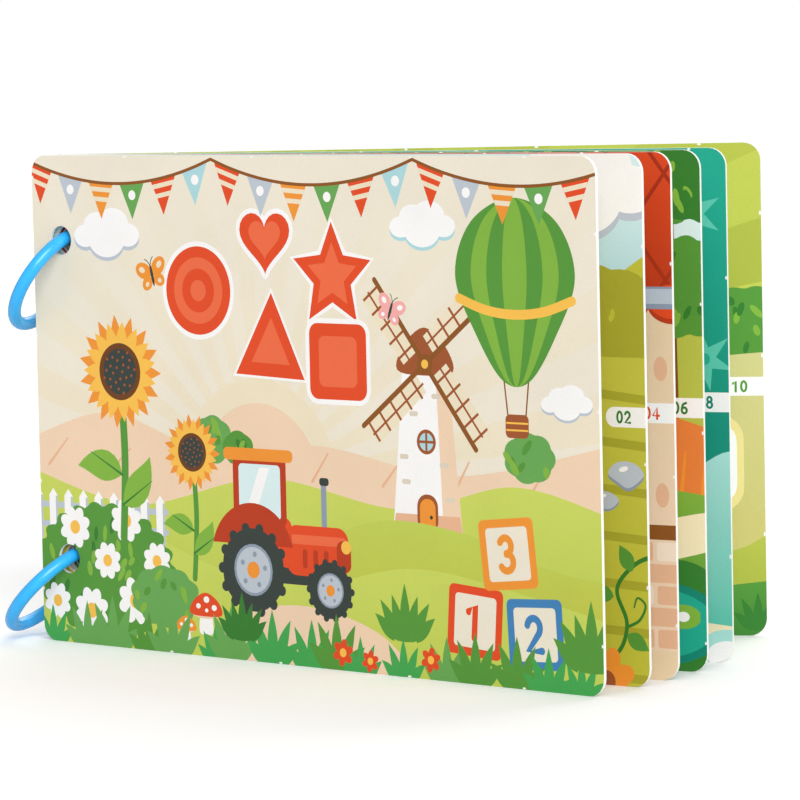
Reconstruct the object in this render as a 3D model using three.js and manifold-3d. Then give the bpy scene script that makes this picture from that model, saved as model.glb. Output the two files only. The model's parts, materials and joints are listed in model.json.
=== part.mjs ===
// Ring-bound quiet book: six stiff laminated leaves on two plastic snap rings, standing fanned on its bottom edges.
// Millimetres, +Z up. The back leaf lies along X with its spine at the -X end, and the front cover faces -Y.
import * as THREE from 'three';
import * as BufferGeometryUtils from 'three/addons/utils/BufferGeometryUtils.js';
import Module from 'manifold-3d';

const wasm = await Module();
wasm.setup();

// Leaf
const leafLength = 210;
const leafHeight = 142;
const leafThickness = 1.0;
const cornerRadius = 5;
const printThickness = 0.12;
const glueLine = 0.02;
const printInset = 0.05;
const leafGap = 0.25;
const backLeafSlip = 1.05;

// Punched holes
const holeRadius = 4.2;
const holeInset = 11.3;
const holeRise = 24.6;

// Binder rings
const ringRadius = 16;
const tubeRadius = 2;
const ringLift = 1.6;
const ringDraw = 0.6;

// Ring hinge and snap
const knuckleRadius = 2.6;
const knuckleWidth = 4.4;
const tongueWidth = 1.3;
const pinRadius = 0.6;
const pinFit = 0.05;
const pinPlay = 0.2;
const hingePlay = 0.3;
const lapPlay = 0.15;
const snapRadius = 0.35;
const snapPlay = 0.2;
const cutOverrun = 1;

// Angles around the ring, from the middle of the stack towards the front
const degree = Math.PI / 180;
const hingeAngle = 240 * degree;
const lapStart = 310 * degree;
const lapEnd = 322 * degree;
const lapPlayAngle = 1 * degree;

// Leaves from the front, each with its turn about the upright axis through the ring centres.
// The back leaf has slipped towards the spine, so its holes lie against the rings.
const leaves = [
  { name: 'cover', turn: -32.2 * degree, slip: 0, colour: 0xdf4a20 },
  { name: 'leaf_02', turn: -27.2 * degree, slip: 0, colour: 0xa9d3d8 },
  { name: 'leaf_04', turn: -23.7 * degree, slip: 0, colour: 0xe5cba9 },
  { name: 'leaf_06', turn: -19.4 * degree, slip: 0, colour: 0x549338 },
  { name: 'leaf_08', turn: -14.6 * degree, slip: 0, colour: 0x2fa39a },
  { name: 'leaf_10', turn: 0, slip: backLeafSlip, colour: 0xc1ce5f },
];
const ringTurn = (leaves[0].turn + leaves[leaves.length - 1].turn) / 2;
const rings = [
  { name: 'upper', height: leafHeight - holeRise, hang: 55.5 * degree },
  { name: 'lower', height: holeRise, hang: 45 * degree },
];

// Facets
const cornerSteps = 6;
const holeSteps = 24;
const tubeSides = 12;
const ringStep = 6 * degree;
const pinSides = 16;

const coreMaterial = new THREE.MeshStandardMaterial({ color: 0xf4f3f0, roughness: 0.5, metalness: 0 });
const ringMaterial = new THREE.MeshStandardMaterial({ color: 0x32a5f0, roughness: 0.3, metalness: 0 });

function arcPoints(x, y, radius, from, to, steps) {
  const points = [];
  for (let i = 0; i <= steps; i += 1) {
    const angle = from + ((to - from) * i) / steps;
    points.push(new THREE.Vector2(x + radius * Math.cos(angle), y + radius * Math.sin(angle)));
  }
  return points;
}

// One layer of a leaf: a sheet with round corners and two holes, standing in XZ from depth `back` towards -Y
function leafLayer(thickness, back, inset) {
  const radius = cornerRadius - inset;
  const right = leafLength - cornerRadius;
  const top = leafHeight - cornerRadius;
  const quarter = Math.PI / 2;
  const outline = new THREE.Shape([
    ...arcPoints(cornerRadius, cornerRadius, radius, 2 * quarter, 3 * quarter, cornerSteps),
    ...arcPoints(right, cornerRadius, radius, 3 * quarter, 4 * quarter, cornerSteps),
    ...arcPoints(right, top, radius, 0, quarter, cornerSteps),
    ...arcPoints(cornerRadius, top, radius, quarter, 2 * quarter, cornerSteps),
  ]);
  for (const ring of rings) {
    const rim = arcPoints(holeInset, ring.height, holeRadius + inset, 0, 2 * Math.PI, holeSteps);
    outline.holes.push(new THREE.Path(rim.slice(0, holeSteps)));
  }
  const layer = new THREE.ExtrudeGeometry(outline, { depth: thickness, bevelEnabled: false });
  layer.rotateX(quarter);
  layer.translate(0, back, 0);
  return layer;
}

function addMesh(group, name, geometry, material) {
  const mesh = new THREE.Mesh(geometry, material);
  mesh.name = name;
  group.add(mesh);
}

// A leaf stands off the ring axis by its place in the closed stack, with its holes on the ring's circle
function makeLeaf(leaf, index) {
  const offset = (index - (leaves.length - 1) / 2) * (leafThickness + leafGap);
  const holeReach = Math.sqrt(ringRadius ** 2 - offset ** 2);
  const sheet = new THREE.Group();
  sheet.position.set(holeReach - holeInset - leaf.slip, offset, 0);
  const turned = new THREE.Group();
  turned.rotation.z = leaf.turn;
  turned.add(sheet);

  const half = leafThickness / 2;
  const coreThickness = leafThickness - 2 * (printThickness + glueLine);
  const printMaterial = new THREE.MeshStandardMaterial({ color: leaf.colour, roughness: 0.35, metalness: 0 });
  addMesh(sheet, `${leaf.name}_core`, leafLayer(coreThickness, coreThickness / 2, 0), coreMaterial);
  addMesh(sheet, `${leaf.name}_front_print`, leafLayer(printThickness, printThickness - half, printInset),
    printMaterial);
  addMesh(sheet, `${leaf.name}_back_print`, leafLayer(printThickness, half, printInset), printMaterial);
  return turned;
}

// A stretch of the ring's centre line. X points from the ring's centre to the stack, Y to the front.
class RingArc extends THREE.Curve {
  constructor(from, to) {
    super();
    this.from = from;
    this.to = to;
  }

  getPoint(share, target = new THREE.Vector3()) {
    const angle = this.from + (this.to - this.from) * share;
    return target.set(ringRadius * Math.cos(angle), ringRadius * Math.sin(angle), 0);
  }
}

function toSolid(geometry) {
  const bare = geometry.clone();
  bare.deleteAttribute('normal');
  bare.deleteAttribute('uv');
  const merged = BufferGeometryUtils.mergeVertices(bare);
  return new wasm.Manifold(new wasm.Mesh({
    numProp: 3,
    vertProperties: new Float32Array(merged.attributes.position.array),
    triVerts: new Uint32Array(merged.index.array),
  }));
}

function toGeometry(solid) {
  const mesh = solid.getMesh();
  const geometry = new THREE.BufferGeometry();
  geometry.setAttribute('position', new THREE.BufferAttribute(mesh.vertProperties, 3));
  geometry.setIndex(new THREE.BufferAttribute(mesh.triVerts, 1));
  return geometry;
}

function tube(from, to) {
  const section = new THREE.Shape(arcPoints(0, 0, tubeRadius, 0, 2 * Math.PI, tubeSides).slice(0, tubeSides));
  const steps = Math.ceil((to - from) / ringStep);
  const path = new RingArc(from, to);
  return toSolid(new THREE.ExtrudeGeometry(section, { steps, extrudePath: path, bevelEnabled: false }));
}

// A round rod square to the ring's plane, centred on the ring's centre line at `angle`
function rod(angle, radius, width) {
  const round = new THREE.CylinderGeometry(radius, radius, width, pinSides);
  round.rotateX(Math.PI / 2);
  round.translate(ringRadius * Math.cos(angle), ringRadius * Math.sin(angle), 0);
  return toSolid(round);
}

// The part of the ring's thickness within `width`, as a slab over the whole ring
function slab(width) {
  const side = 2 * (ringRadius + knuckleRadius + cutOverrun);
  return toSolid(new THREE.BoxGeometry(side, side, width));
}

// The lap's two halves meet on the ring's centre line
const lapDepth = 2 * (tubeRadius + cutOverrun);

function inside(radius) {
  const disc = new THREE.CylinderGeometry(radius, radius, lapDepth, Math.round(2 * Math.PI / ringStep));
  disc.rotateX(Math.PI / 2);
  return toSolid(disc);
}

const boreWidth = knuckleWidth + 2 * cutOverrun;
const snapAngle = (lapStart + lapEnd) / 2;

// The fixed part runs from the lap through the holes to the hinge, where two lugs hold the pin
function makeFixedArc() {
  const slot = rod(hingeAngle, knuckleRadius + hingePlay, tongueWidth + 2 * hingePlay);
  const lap = tube(lapStart, lapEnd + lapPlayAngle).intersect(inside(ringRadius - lapPlay));
  const snap = rod(snapAngle, snapRadius, tubeRadius);
  return tube(lapEnd - 2 * Math.PI, hingeAngle)
    .add(rod(hingeAngle, knuckleRadius, knuckleWidth))
    .subtract(slot)
    .subtract(rod(hingeAngle, pinRadius + pinFit, boreWidth))
    .add(lap.add(snap));
}

// The gate carries the tongue, and its outer half of the lap lifts off the fixed half
function makeGate() {
  const body = tube(hingeAngle, lapStart - lapPlayAngle);
  const clear = rod(hingeAngle, knuckleRadius + hingePlay, boreWidth);
  const tongue = body.add(rod(hingeAngle, knuckleRadius, knuckleWidth)).intersect(slab(tongueWidth));
  const groove = rod(snapAngle, snapRadius + snapPlay, boreWidth);
  const lap = tube(lapStart - 2 * lapPlayAngle, lapEnd - lapPlayAngle)
    .intersect(slab(lapDepth).subtract(inside(ringRadius + lapPlay)));
  return body.subtract(clear)
    .add(tongue)
    .add(lap.subtract(groove))
    .subtract(rod(hingeAngle, pinRadius + pinPlay, boreWidth));
}

// A ring swings about the line through its top, which lies in the middle of the stack of holes
function makeRing(ring) {
  const parts = new THREE.Group();
  parts.position.x = -ringRadius;
  addMesh(parts, `${ring.name}_ring_arc`, toGeometry(makeFixedArc()), ringMaterial);
  addMesh(parts, `${ring.name}_ring_gate`, toGeometry(makeGate()), ringMaterial);
  addMesh(parts, `${ring.name}_ring_pin`, toGeometry(rod(hingeAngle, pinRadius, knuckleWidth)), ringMaterial);

  const swung = new THREE.Group();
  swung.rotation.y = ring.hang;
  swung.add(parts);
  const level = new THREE.Group();
  level.rotation.x = Math.PI;
  level.position.set(ringRadius - ringDraw, 0, ring.height + ringLift);
  level.add(swung);
  const turned = new THREE.Group();
  turned.rotation.z = ringTurn;
  turned.add(level);
  return turned;
}

const assembly = new THREE.Group();
leaves.forEach((leaf, index) => assembly.add(makeLeaf(leaf, index)));
rings.forEach((ring) => assembly.add(makeRing(ring)));

// The origin is under the middle of the whole book, on the surface that it stands on
const bounds = new THREE.Box3().setFromObject(assembly, true);
assembly.position.set(-(bounds.min.x + bounds.max.x) / 2, -(bounds.min.y + bounds.max.y) / 2, -bounds.min.z);

const book = new THREE.Group();
book.add(assembly);
book.updateMatrixWorld(true);

export default book;
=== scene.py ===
import json
import math
import random
import bpy
import numpy as np
from mathutils import Matrix, Vector
from mathutils.geometry import delaunay_2d_cdt


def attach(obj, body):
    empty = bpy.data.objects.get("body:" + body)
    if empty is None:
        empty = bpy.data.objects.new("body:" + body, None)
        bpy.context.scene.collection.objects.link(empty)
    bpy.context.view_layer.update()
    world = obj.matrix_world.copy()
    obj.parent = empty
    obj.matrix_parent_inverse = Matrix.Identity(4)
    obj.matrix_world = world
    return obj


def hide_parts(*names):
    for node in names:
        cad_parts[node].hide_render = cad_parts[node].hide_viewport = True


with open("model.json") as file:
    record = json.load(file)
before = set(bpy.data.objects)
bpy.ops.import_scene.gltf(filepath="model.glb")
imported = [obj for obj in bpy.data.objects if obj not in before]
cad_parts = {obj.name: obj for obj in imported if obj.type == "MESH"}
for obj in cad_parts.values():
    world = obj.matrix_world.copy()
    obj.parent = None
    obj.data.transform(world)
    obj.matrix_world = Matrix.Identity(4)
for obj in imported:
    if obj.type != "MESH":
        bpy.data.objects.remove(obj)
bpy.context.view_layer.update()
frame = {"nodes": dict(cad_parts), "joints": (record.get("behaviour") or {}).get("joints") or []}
print("scene: frame loaded")

mm = 0.001

# The leaves from the front, as they stand in the fan. Lengths in millimetres, turns in degrees.
leaf = {
    "length": 210,
    "height": 142,
    "thickness": 1.0,
    "print": 0.12,
    "inset": 0.05,  # how far a print's edge stays inside its board's
    "corner": 5,
    "pitch": 1.25,  # from leaf to leaf when the book is closed
    "holeRadius": 4.2,
    "holeInset": 11.3,
    "holeRise": 24.6,
    "ringRadius": 16,
    "backSlip": 1.05,  # how far the back leaf has slid towards its spine
    "turns": {"cover": -32.2, "leaf_02": -27.2, "leaf_04": -23.7, "leaf_06": -19.4, "leaf_08": -14.6,
              "leaf_10": 0},
}
leafNames = list(leaf["turns"])
joints = {joint["name"]: joint for joint in frame["joints"]}
bindingAxis = Vector(joints["cover_turn"]["pos_m"])


# sRGB hex to linear values
def linear(hexText):
    parts = [int(hexText[i:i + 2], 16) / 255 for i in (0, 2, 4)]
    return [c / 12.92 if c <= 0.04045 else ((c + 0.055) / 1.055) ** 2.4 for c in parts]


# Adds a node, sets its inputs and properties, and links what is given as (node, output)
def addNode(tree, kind, inputs=None, **settings):
    node = tree.nodes.new(kind)
    for name, value in settings.items():
        setattr(node, name, value)
    for name, value in (inputs or {}).items():
        if isinstance(value, tuple) and len(value) == 2 and hasattr(value[0], "outputs"):
            tree.links.new(value[0].outputs[value[1]], node.inputs[name])
        else:
            node.inputs[name].default_value = value
    return node


def newMaterial(name):
    material = bpy.data.materials.new(name)
    material.use_nodes = True
    material.node_tree.nodes.clear()
    return material, material.node_tree


def newObject(name, data):
    item = bpy.data.objects.new(name, data)
    bpy.context.scene.collection.objects.link(item)
    return item


# The mesh that an object's modifiers make
def plainMesh(item):
    graph = bpy.context.evaluated_depsgraph_get()
    return bpy.data.meshes.new_from_object(item.evaluated_get(graph))


noiseSpan = {"From Min": 0.3, "From Max": 0.7}  # most of a noise texture's values


# Laminated print: offset-printed sheet under satin clear film, so the inks look even, with a soft wide shine
def makeLaminatedPrint():
    look = {
        "grain": 0.45,  # millimetres, and coarser than a real print's, so that it shows
        "cloud": 22,
        "ripple": 2.2,
        "rippleHeight": 0.02,
        "rippleStrength": 0.12,
        "tint": (0.975, 1.02),
        "roughness": (0.31, 0.41),
        "ior": 1.49,
        "specular": 0.2,
        "coat": 0.02,
        "coatRoughness": 0.16,
    }
    material, tree = newMaterial("laminatedPrint")
    place = addNode(tree, "ShaderNodeTexCoord")
    ink = addNode(tree, "ShaderNodeAttribute", attribute_name="ink", attribute_type="GEOMETRY")
    grain = addNode(tree, "ShaderNodeTexNoise",
                    {"Vector": (place, "Object"), "Scale": 1 / (look["grain"] * mm), "Detail": 2.0})
    cloud = addNode(tree, "ShaderNodeTexNoise",
                    {"Vector": (place, "Object"), "Scale": 1 / (look["cloud"] * mm), "Detail": 3.0})
    ripple = addNode(tree, "ShaderNodeTexNoise",
                     {"Vector": (place, "Object"), "Scale": 1 / (look["ripple"] * mm)})
    low, high = look["tint"]
    fine = addNode(tree, "ShaderNodeMapRange",
                   {"Value": (grain, "Fac"), **noiseSpan, "To Min": low, "To Max": high})
    broad = addNode(tree, "ShaderNodeMapRange",
                    {"Value": (cloud, "Fac"), **noiseSpan, "To Min": low, "To Max": high})
    both = addNode(tree, "ShaderNodeMath", {0: (fine, 0), 1: (broad, 0)}, operation="MULTIPLY")
    tint = addNode(tree, "ShaderNodeVectorMath", {0: (ink, "Color"), "Scale": (both, 0)}, operation="SCALE")
    low, high = look["roughness"]
    rough = addNode(tree, "ShaderNodeMapRange", {"Value": (cloud, "Fac"), "To Min": low, "To Max": high})
    bump = addNode(tree, "ShaderNodeBump",
                   {"Height": (ripple, "Fac"), "Strength": look["rippleStrength"],
                    "Distance": look["rippleHeight"] * mm})
    film = addNode(tree, "ShaderNodeBsdfPrincipled",
                   {"Base Color": (tint, 0), "Roughness": (rough, 0), "Normal": (bump, 0), "IOR": look["ior"],
                    "Specular IOR Level": look["specular"], "Coat Weight": look["coat"],
                    "Coat Roughness": look["coatRoughness"]})
    addNode(tree, "ShaderNodeOutputMaterial", {"Surface": (film, 0)})
    return material


# Polypropylene board: extruded and die-cut, so its edge is a clean, slightly streaked white
def makeDiecutBoard():
    look = {
        "colour": "F6F4EF",
        "streak": 0.6,  # millimetres
        "squeeze": 0.15,  # draws the streaks out upwards
        "streakHeight": 0.03,
        "streakStrength": 0.3,
        "cloud": 14,
        "tint": (0.93, 1.03),
        "roughness": 0.5,
        "ior": 1.49,
    }
    material, tree = newMaterial("diecutBoard")
    place = addNode(tree, "ShaderNodeTexCoord")
    squeeze = addNode(tree, "ShaderNodeMapping",
                      {"Vector": (place, "Object"), "Scale": (1, 1, look["squeeze"])})
    streak = addNode(tree, "ShaderNodeTexNoise", {"Vector": (squeeze, 0), "Scale": 1 / (look["streak"] * mm)})
    cloud = addNode(tree, "ShaderNodeTexNoise",
                    {"Vector": (place, "Object"), "Scale": 1 / (look["cloud"] * mm)})
    both = addNode(tree, "ShaderNodeMath", {0: (streak, "Fac"), 1: (cloud, "Fac")}, operation="ADD")
    low, high = look["tint"]
    shade = addNode(tree, "ShaderNodeMapRange",
                    {"Value": (both, 0), "From Min": 2 * noiseSpan["From Min"],
                     "From Max": 2 * noiseSpan["From Max"], "To Min": low, "To Max": high})
    tint = addNode(tree, "ShaderNodeVectorMath", {0: linear(look["colour"]), "Scale": (shade, 0)},
                   operation="SCALE")
    bump = addNode(tree, "ShaderNodeBump",
                   {"Height": (streak, "Fac"), "Strength": look["streakStrength"],
                    "Distance": look["streakHeight"] * mm})
    board = addNode(tree, "ShaderNodeBsdfPrincipled",
                    {"Base Color": (tint, 0), "Roughness": look["roughness"], "Normal": (bump, 0),
                     "IOR": look["ior"]})
    addNode(tree, "ShaderNodeOutputMaterial", {"Surface": (board, 0)})
    return material


# Moulded ABS: injection-moulded and unpainted, so the rings are an even, shiny blue with faint flow marks
def makeMouldedRing():
    look = {
        "colour": "2CB2FA",
        "flow": 7,  # millimetres
        "flowTwist": 1.2,
        "skin": 0.5,
        "skinHeight": 0.02,
        "skinStrength": 0.08,
        "tint": (0.94, 1.05),
        "roughness": (0.2, 0.3),
        "ior": 1.53,
    }
    material, tree = newMaterial("mouldedRingPlastic")
    place = addNode(tree, "ShaderNodeTexCoord")
    flow = addNode(tree, "ShaderNodeTexNoise",
                   {"Vector": (place, "Object"), "Scale": 1 / (look["flow"] * mm),
                    "Distortion": look["flowTwist"]})
    skin = addNode(tree, "ShaderNodeTexNoise",
                   {"Vector": (place, "Object"), "Scale": 1 / (look["skin"] * mm)})
    low, high = look["tint"]
    shade = addNode(tree, "ShaderNodeMapRange",
                    {"Value": (flow, "Fac"), **noiseSpan, "To Min": low, "To Max": high})
    tint = addNode(tree, "ShaderNodeVectorMath", {0: linear(look["colour"]), "Scale": (shade, 0)},
                   operation="SCALE")
    low, high = look["roughness"]
    rough = addNode(tree, "ShaderNodeMapRange", {"Value": (skin, "Fac"), "To Min": low, "To Max": high})
    bump = addNode(tree, "ShaderNodeBump",
                   {"Height": (skin, "Fac"), "Strength": look["skinStrength"],
                    "Distance": look["skinHeight"] * mm})
    plastic = addNode(tree, "ShaderNodeBsdfPrincipled",
                      {"Base Color": (tint, 0), "Roughness": (rough, 0), "Normal": (bump, 0),
                       "IOR": look["ior"]})
    addNode(tree, "ShaderNodeOutputMaterial", {"Surface": (plastic, 0)})
    return material


# Makes a geometry tree with named number inputs, and returns it with its group input
def newTree(name, inputs):
    tree = bpy.data.node_groups.new(name, "GeometryNodeTree")
    for label, value in inputs.items():
        kind = "NodeSocketInt" if isinstance(value, int) else "NodeSocketFloat"
        tree.interface.new_socket(label, in_out="INPUT", socket_type=kind).default_value = value
    tree.interface.new_socket("Geometry", in_out="OUTPUT", socket_type="NodeSocketGeometry")
    return tree, addNode(tree, "NodeGroupInput")


# Runs a tree with the given values for its named inputs, and returns the result as a plain mesh
def runTree(tree, values):
    holder = newObject(tree.name, bpy.data.meshes.new(tree.name))
    modifier = holder.modifiers.new("tree", "NODES")
    modifier.node_group = tree
    for socket in tree.interface.items_tree:
        if socket.in_out == "INPUT" and socket.name in values:
            modifier[socket.identifier] = values[socket.name]
    mesh = plainMesh(holder)
    holder.modifiers.clear()
    bpy.data.objects.remove(holder)
    return mesh


laminatedPrint = makeLaminatedPrint()
diecutBoard = makeDiecutBoard()
mouldedRing = makeMouldedRing()
print("scene: materials made")

# Printing inks
inks = {
    "paper": "F5F3F1", "cream": "E9E1CE", "butter": "E9DCBF", "clay": "EBCDAF", "tan": "E6CCA6",
    "mortar": "E3B18D", "paleBrick": "F2DCC6", "peach": "F0D8BF", "sand": "EFE3BC", "shadow": "D8CDB9",
    "straw": "EAD98F", "hay": "C9C072", "paleHay": "CFC988",
    "mist": "B9C1CB", "slate": "8C98A8", "road": "6F7A88", "night": "363F3B",
    "sky": "A9D3D8", "paleSky": "D5EAEA", "ice": "A8DDD3", "blue": "3F7FB5",
    "teal": "24A58C", "deepTeal": "17836F", "paleTeal": "5CC0A8", "softTeal": "2DB096",
    "lime": "C6D25F", "grass": "BDCB55", "field": "BDBB3C", "olive": "A7A330", "ochre": "C2BE45",
    "moss": "B4BC4A", "deepMoss": "A4AD3F", "paleMoss": "BDC552",
    "leafGreen": "549338", "freshLeaf": "7FB03F", "deepLeaf": "357A2E", "tuft": "66A352", "meadow": "42A24F",
    "bark": "8A5220", "darkBark": "6B3D1A", "brown": "9C532B",
    "orange": "EB9233", "honey": "F3BC4E", "pumpkin": "E27F3B", "pink": "F0A9A5",
    "red": "DF4A20", "darkRed": "B83A18", "deepRed": "A83216", "warmRed": "E96A42",
}


# Drawing. A point is a complex number in millimetres: right from the left edge, up from the bottom edge.
# A drawing is a list of (outline, ink) pairs, and each later pair covers the earlier ones. Angles are in
# degrees. A round outline has steps of about one chord, but neither fewer nor more of them than these.
fineness = {"chord": 0.75, "fewest": 22, "most": 56}


def ellipse(at, rx, ry=None, turn=0, start=0, sweep=360):
    ry = rx if ry is None else ry
    wanted = sweep / 360 * math.pi * (rx + ry) / fineness["chord"]
    steps = int(min(fineness["most"], max(fineness["fewest"], wanted)))
    angles = np.radians(start + np.linspace(0, sweep, steps, endpoint=sweep < 360))
    return at + (rx * np.cos(angles) + 1j * ry * np.sin(angles)) * np.exp(1j * math.radians(turn))


# A curve through the points
def smooth(points, closed=True):
    p = np.array(points, complex)
    count = len(p)
    pieces = []
    for i in range(count if closed else count - 1):
        a = p[i - 1] if closed or i else p[0]
        b, c = p[i], p[(i + 1) % count]
        d = p[(i + 2) % count] if closed or i < count - 2 else p[-1]
        steps = max(5, min(12, int(abs(c - b) / 1.2)))
        t = np.arange(steps) / steps
        pieces.append(0.5 * (2 * b + (c - a) * t + (2 * a - 5 * b + 4 * c - d) * t ** 2
                             + (3 * b - a - 3 * c + d) * t ** 3))
    line = np.concatenate(pieces)
    return line if closed else np.append(line, p[-1])


# A line with a width and round ends, which may narrow or widen to its tip
def stroke(points, width, tip=None, curved=True):
    line = smooth(points, False) if curved and len(points) > 2 else np.array(points, complex)
    along = np.gradient(line)
    side = 1j * along / np.abs(along)
    half = np.linspace(width, width if tip is None else tip, len(line)) / 2
    cap = np.exp(-1j * np.radians(np.linspace(20, 160, 6)))
    return np.concatenate([line + half * side, line[-1] + half[-1] * side[-1] * cap,
                           (line - half * side)[::-1], line[0] - half[0] * side[0] * cap])


# A pointed leaf from its foot, leaning to the right and bending on the way
def blade(at, length, width, lean=0, bend=0):
    t = np.linspace(0, 1, 9)
    spine = length * t * np.exp(1j * np.radians(90 - lean - bend * t))
    side = 1j * np.gradient(spine)
    side = side / np.abs(side) * width / 2 * np.sin(math.pi * t ** 0.8)
    return at + np.concatenate([spine + side, (spine - side)[::-1][1:-1]])


def star(at, outer, inner, arms=5, turn=90):
    reach = np.where(np.arange(2 * arms) % 2, inner, outer)
    return at + reach * np.exp(1j * (math.radians(turn) + np.arange(2 * arms) * math.pi / arms))


def heart(at, size):
    t = np.linspace(0, 2 * math.pi, 40, endpoint=False)
    up = 13 * np.cos(t) - 5 * np.cos(2 * t) - 2 * np.cos(3 * t) - np.cos(4 * t)
    shape = 16 * np.sin(t) ** 3 + 1j * up
    return at + shape[::-1] * size / 32


# A rectangle with round corners
def panel(x0, y0, x1, y1, radius=0.01):
    middle = [(x1 - radius, y1 - radius, 0), (x0 + radius, y1 - radius, 90), (x0 + radius, y0 + radius, 180),
              (x1 - radius, y0 + radius, 270)]
    steps = 7 if radius > 0.015 else 2
    return np.concatenate([x + 1j * y + radius * np.exp(1j * np.radians(np.linspace(a, a + 90, steps)))
                           for x, y, a in middle])


# An ellipse with a lobed edge
def scallop(at, rx, ry, lobes, depth, turn=0):
    angle = np.linspace(0, 2 * math.pi, lobes * 6, endpoint=False)
    reach = 1 - depth + depth * np.abs(np.sin(lobes * angle / 2 + turn))
    return at + reach * (rx * np.cos(angle) + 1j * ry * np.sin(angle))


# Everything below a smooth line is filled, down to `low`
def below(points, low=-2):
    line = smooth(points, False)
    return np.concatenate([[line[0].real + 1j * low], [line[-1].real + 1j * low], line[::-1]])


# An ink that turns from one into another between two points
def fade(first, second, start, end):
    return first, second, complex(start), complex(end)


def moved(drawing, at, scale, turn=0, mirror=False):
    spin = np.exp(1j * math.radians(turn)) * scale
    return [(at + (-np.conj(points) if mirror else points) * spin, ink) for points, ink in drawing]


# The whole page, with some to spare
def ground(ink):
    return [(panel(-1, -1, leaf["length"] + 1, leaf["height"] + 1), ink)]


# An outline with a white rim round it
def rimmed(outline, ink):
    rimWidth = 1.4
    along = np.roll(outline, -1) - np.roll(outline, 1)
    turned = np.sum((np.conj(outline) * np.roll(outline, -1)).imag) > 0
    out = (-1j if turned else 1j) * along / np.abs(along)
    return [(outline + out * rimWidth, "paper"), (outline, ink)]


# Page numbers in plain round strokes, one unit wide and one and a half high
def digitStrokes(digit):
    def arc(x, y, rx, ry, start, end):
        angles = np.radians(np.linspace(start, end, 14))
        return x + 1j * y + rx * np.cos(angles) + 1j * ry * np.sin(angles)
    strokes = {
        "0": [arc(0.45, 0.75, 0.32, 0.62, 90, 452)],
        "1": [np.array([0.2 + 1.1j, 0.52 + 1.37j, 0.52 + 0.13j])],
        "2": [np.append(arc(0.45, 1.02, 0.31, 0.35, 165, -38), [0.15 + 0.14j, 0.8 + 0.14j])],
        "3": [arc(0.43, 1.06, 0.28, 0.31, 150, -85), arc(0.43, 0.45, 0.32, 0.33, 85, -150)],
        "4": [np.array([0.66 + 0.1j, 0.66 + 1.36j, 0.1 + 0.46j, 0.9 + 0.46j])],
        "5": [np.concatenate([[0.75 + 1.36j, 0.22 + 1.36j, 0.16 + 0.8j],
                              arc(0.43, 0.5, 0.34, 0.37, 120, -145)])],
        "6": [arc(0.46, 0.46, 0.32, 0.34, 0, 362), smooth([0.7 + 1.32j, 0.3 + 1.12j, 0.14 + 0.5j], False)],
        "7": [np.array([0.1 + 1.36j, 0.8 + 1.36j, 0.34 + 0.1j])],
        "8": [arc(0.45, 1.07, 0.26, 0.3, 0, 362), arc(0.45, 0.43, 0.32, 0.34, 0, 362)],
        "9": [arc(0.44, 1.04, 0.32, 0.34, 0, 362), smooth([0.2 + 0.18j, 0.6 + 0.38j, 0.76 + 1.0j], False)],
    }
    return strokes[digit]


def number(text, at, height, ink):
    drawing = []
    for place, digit in enumerate(text):
        for line in digitStrokes(digit):
            shifted = at + (line + place * 1.06 - len(text) * 0.53 - 0.75j) * height / 1.5
            drawing.append((stroke(shifted, height * 0.19, curved=False), ink))
    return drawing


# The number's white tab at a page's free edge, which is the right one on even pages
def numberTab(text, ink):
    left, right, middle = (-4, 13.4, 8) if int(text) % 2 else (197.4, 214, 203.2)
    return [(panel(left, 69.4, right, 74.8, 2.65), "paper")] + number(text, middle + 72.1j, 3.5, ink)


# Motifs
def cloud(at, size, ink="paper", under="mist"):
    puffs = [(-0.95, 0.1, 0.5), (-0.4, 0.42, 0.62), (0.3, 0.5, 0.7), (0.95, 0.15, 0.52), (0, 0, 0.8)]
    drawing = []
    for shade, drop in ((under, 0.12), (ink, 0)):
        for x, y, r in puffs:
            drawing.append((ellipse(at + size * (x + 1j * (y - drop)), size * r, size * r * 0.72), shade))
    return drawing


def sunburst(at, reach, rays, ink, start, sweep):
    step = sweep / rays
    spread = np.radians([0, step / 2])
    return [(at + np.append(0, reach * np.exp(1j * (math.radians(start + i * step) + spread))), ink)
            for i in range(rays)]


def tuft(at, height, ink, blades, spread=62):
    drawing = [(ellipse(at + 0.24j * height, height * 0.055 * blades, height * 0.13), ink)]
    for i in range(blades):
        lean = spread * (i / (blades - 1) - 0.5)
        tall = height * (1 - 0.35 * abs(lean) / (spread / 2 + 1) + 0.08 * (i % 2))
        foot = at + 0.11j * height + 0.09 * height * (i - blades / 2 + 0.5)
        drawing.append((blade(foot, tall, height * 0.24, lean, lean * 0.4), ink))
    return drawing


# Tufts in a row from the left edge
def tuftRow(seed, length, y, height, count, tuftInks, blades=5):
    chance = random.Random(seed)
    drawing = []
    for i in range(count):
        x = length * (i + chance.uniform(0.15, 0.85)) / count
        drawing += tuft(x + 1j * (y + chance.uniform(-1, 1)), height * chance.uniform(0.7, 1.15),
                        chance.choice(tuftInks), blades)
    return drawing


def flower(at, size, petal, eye, petals=6):
    drawing = []
    for i in range(petals):
        turn = 360 / petals * i + 20
        middle = at + size * 0.6 * np.exp(1j * math.radians(turn))
        drawing.append((ellipse(middle, size * 0.46, size * 0.32, turn), petal))
    return drawing + [(ellipse(at, size * 0.34), eye)]


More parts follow.
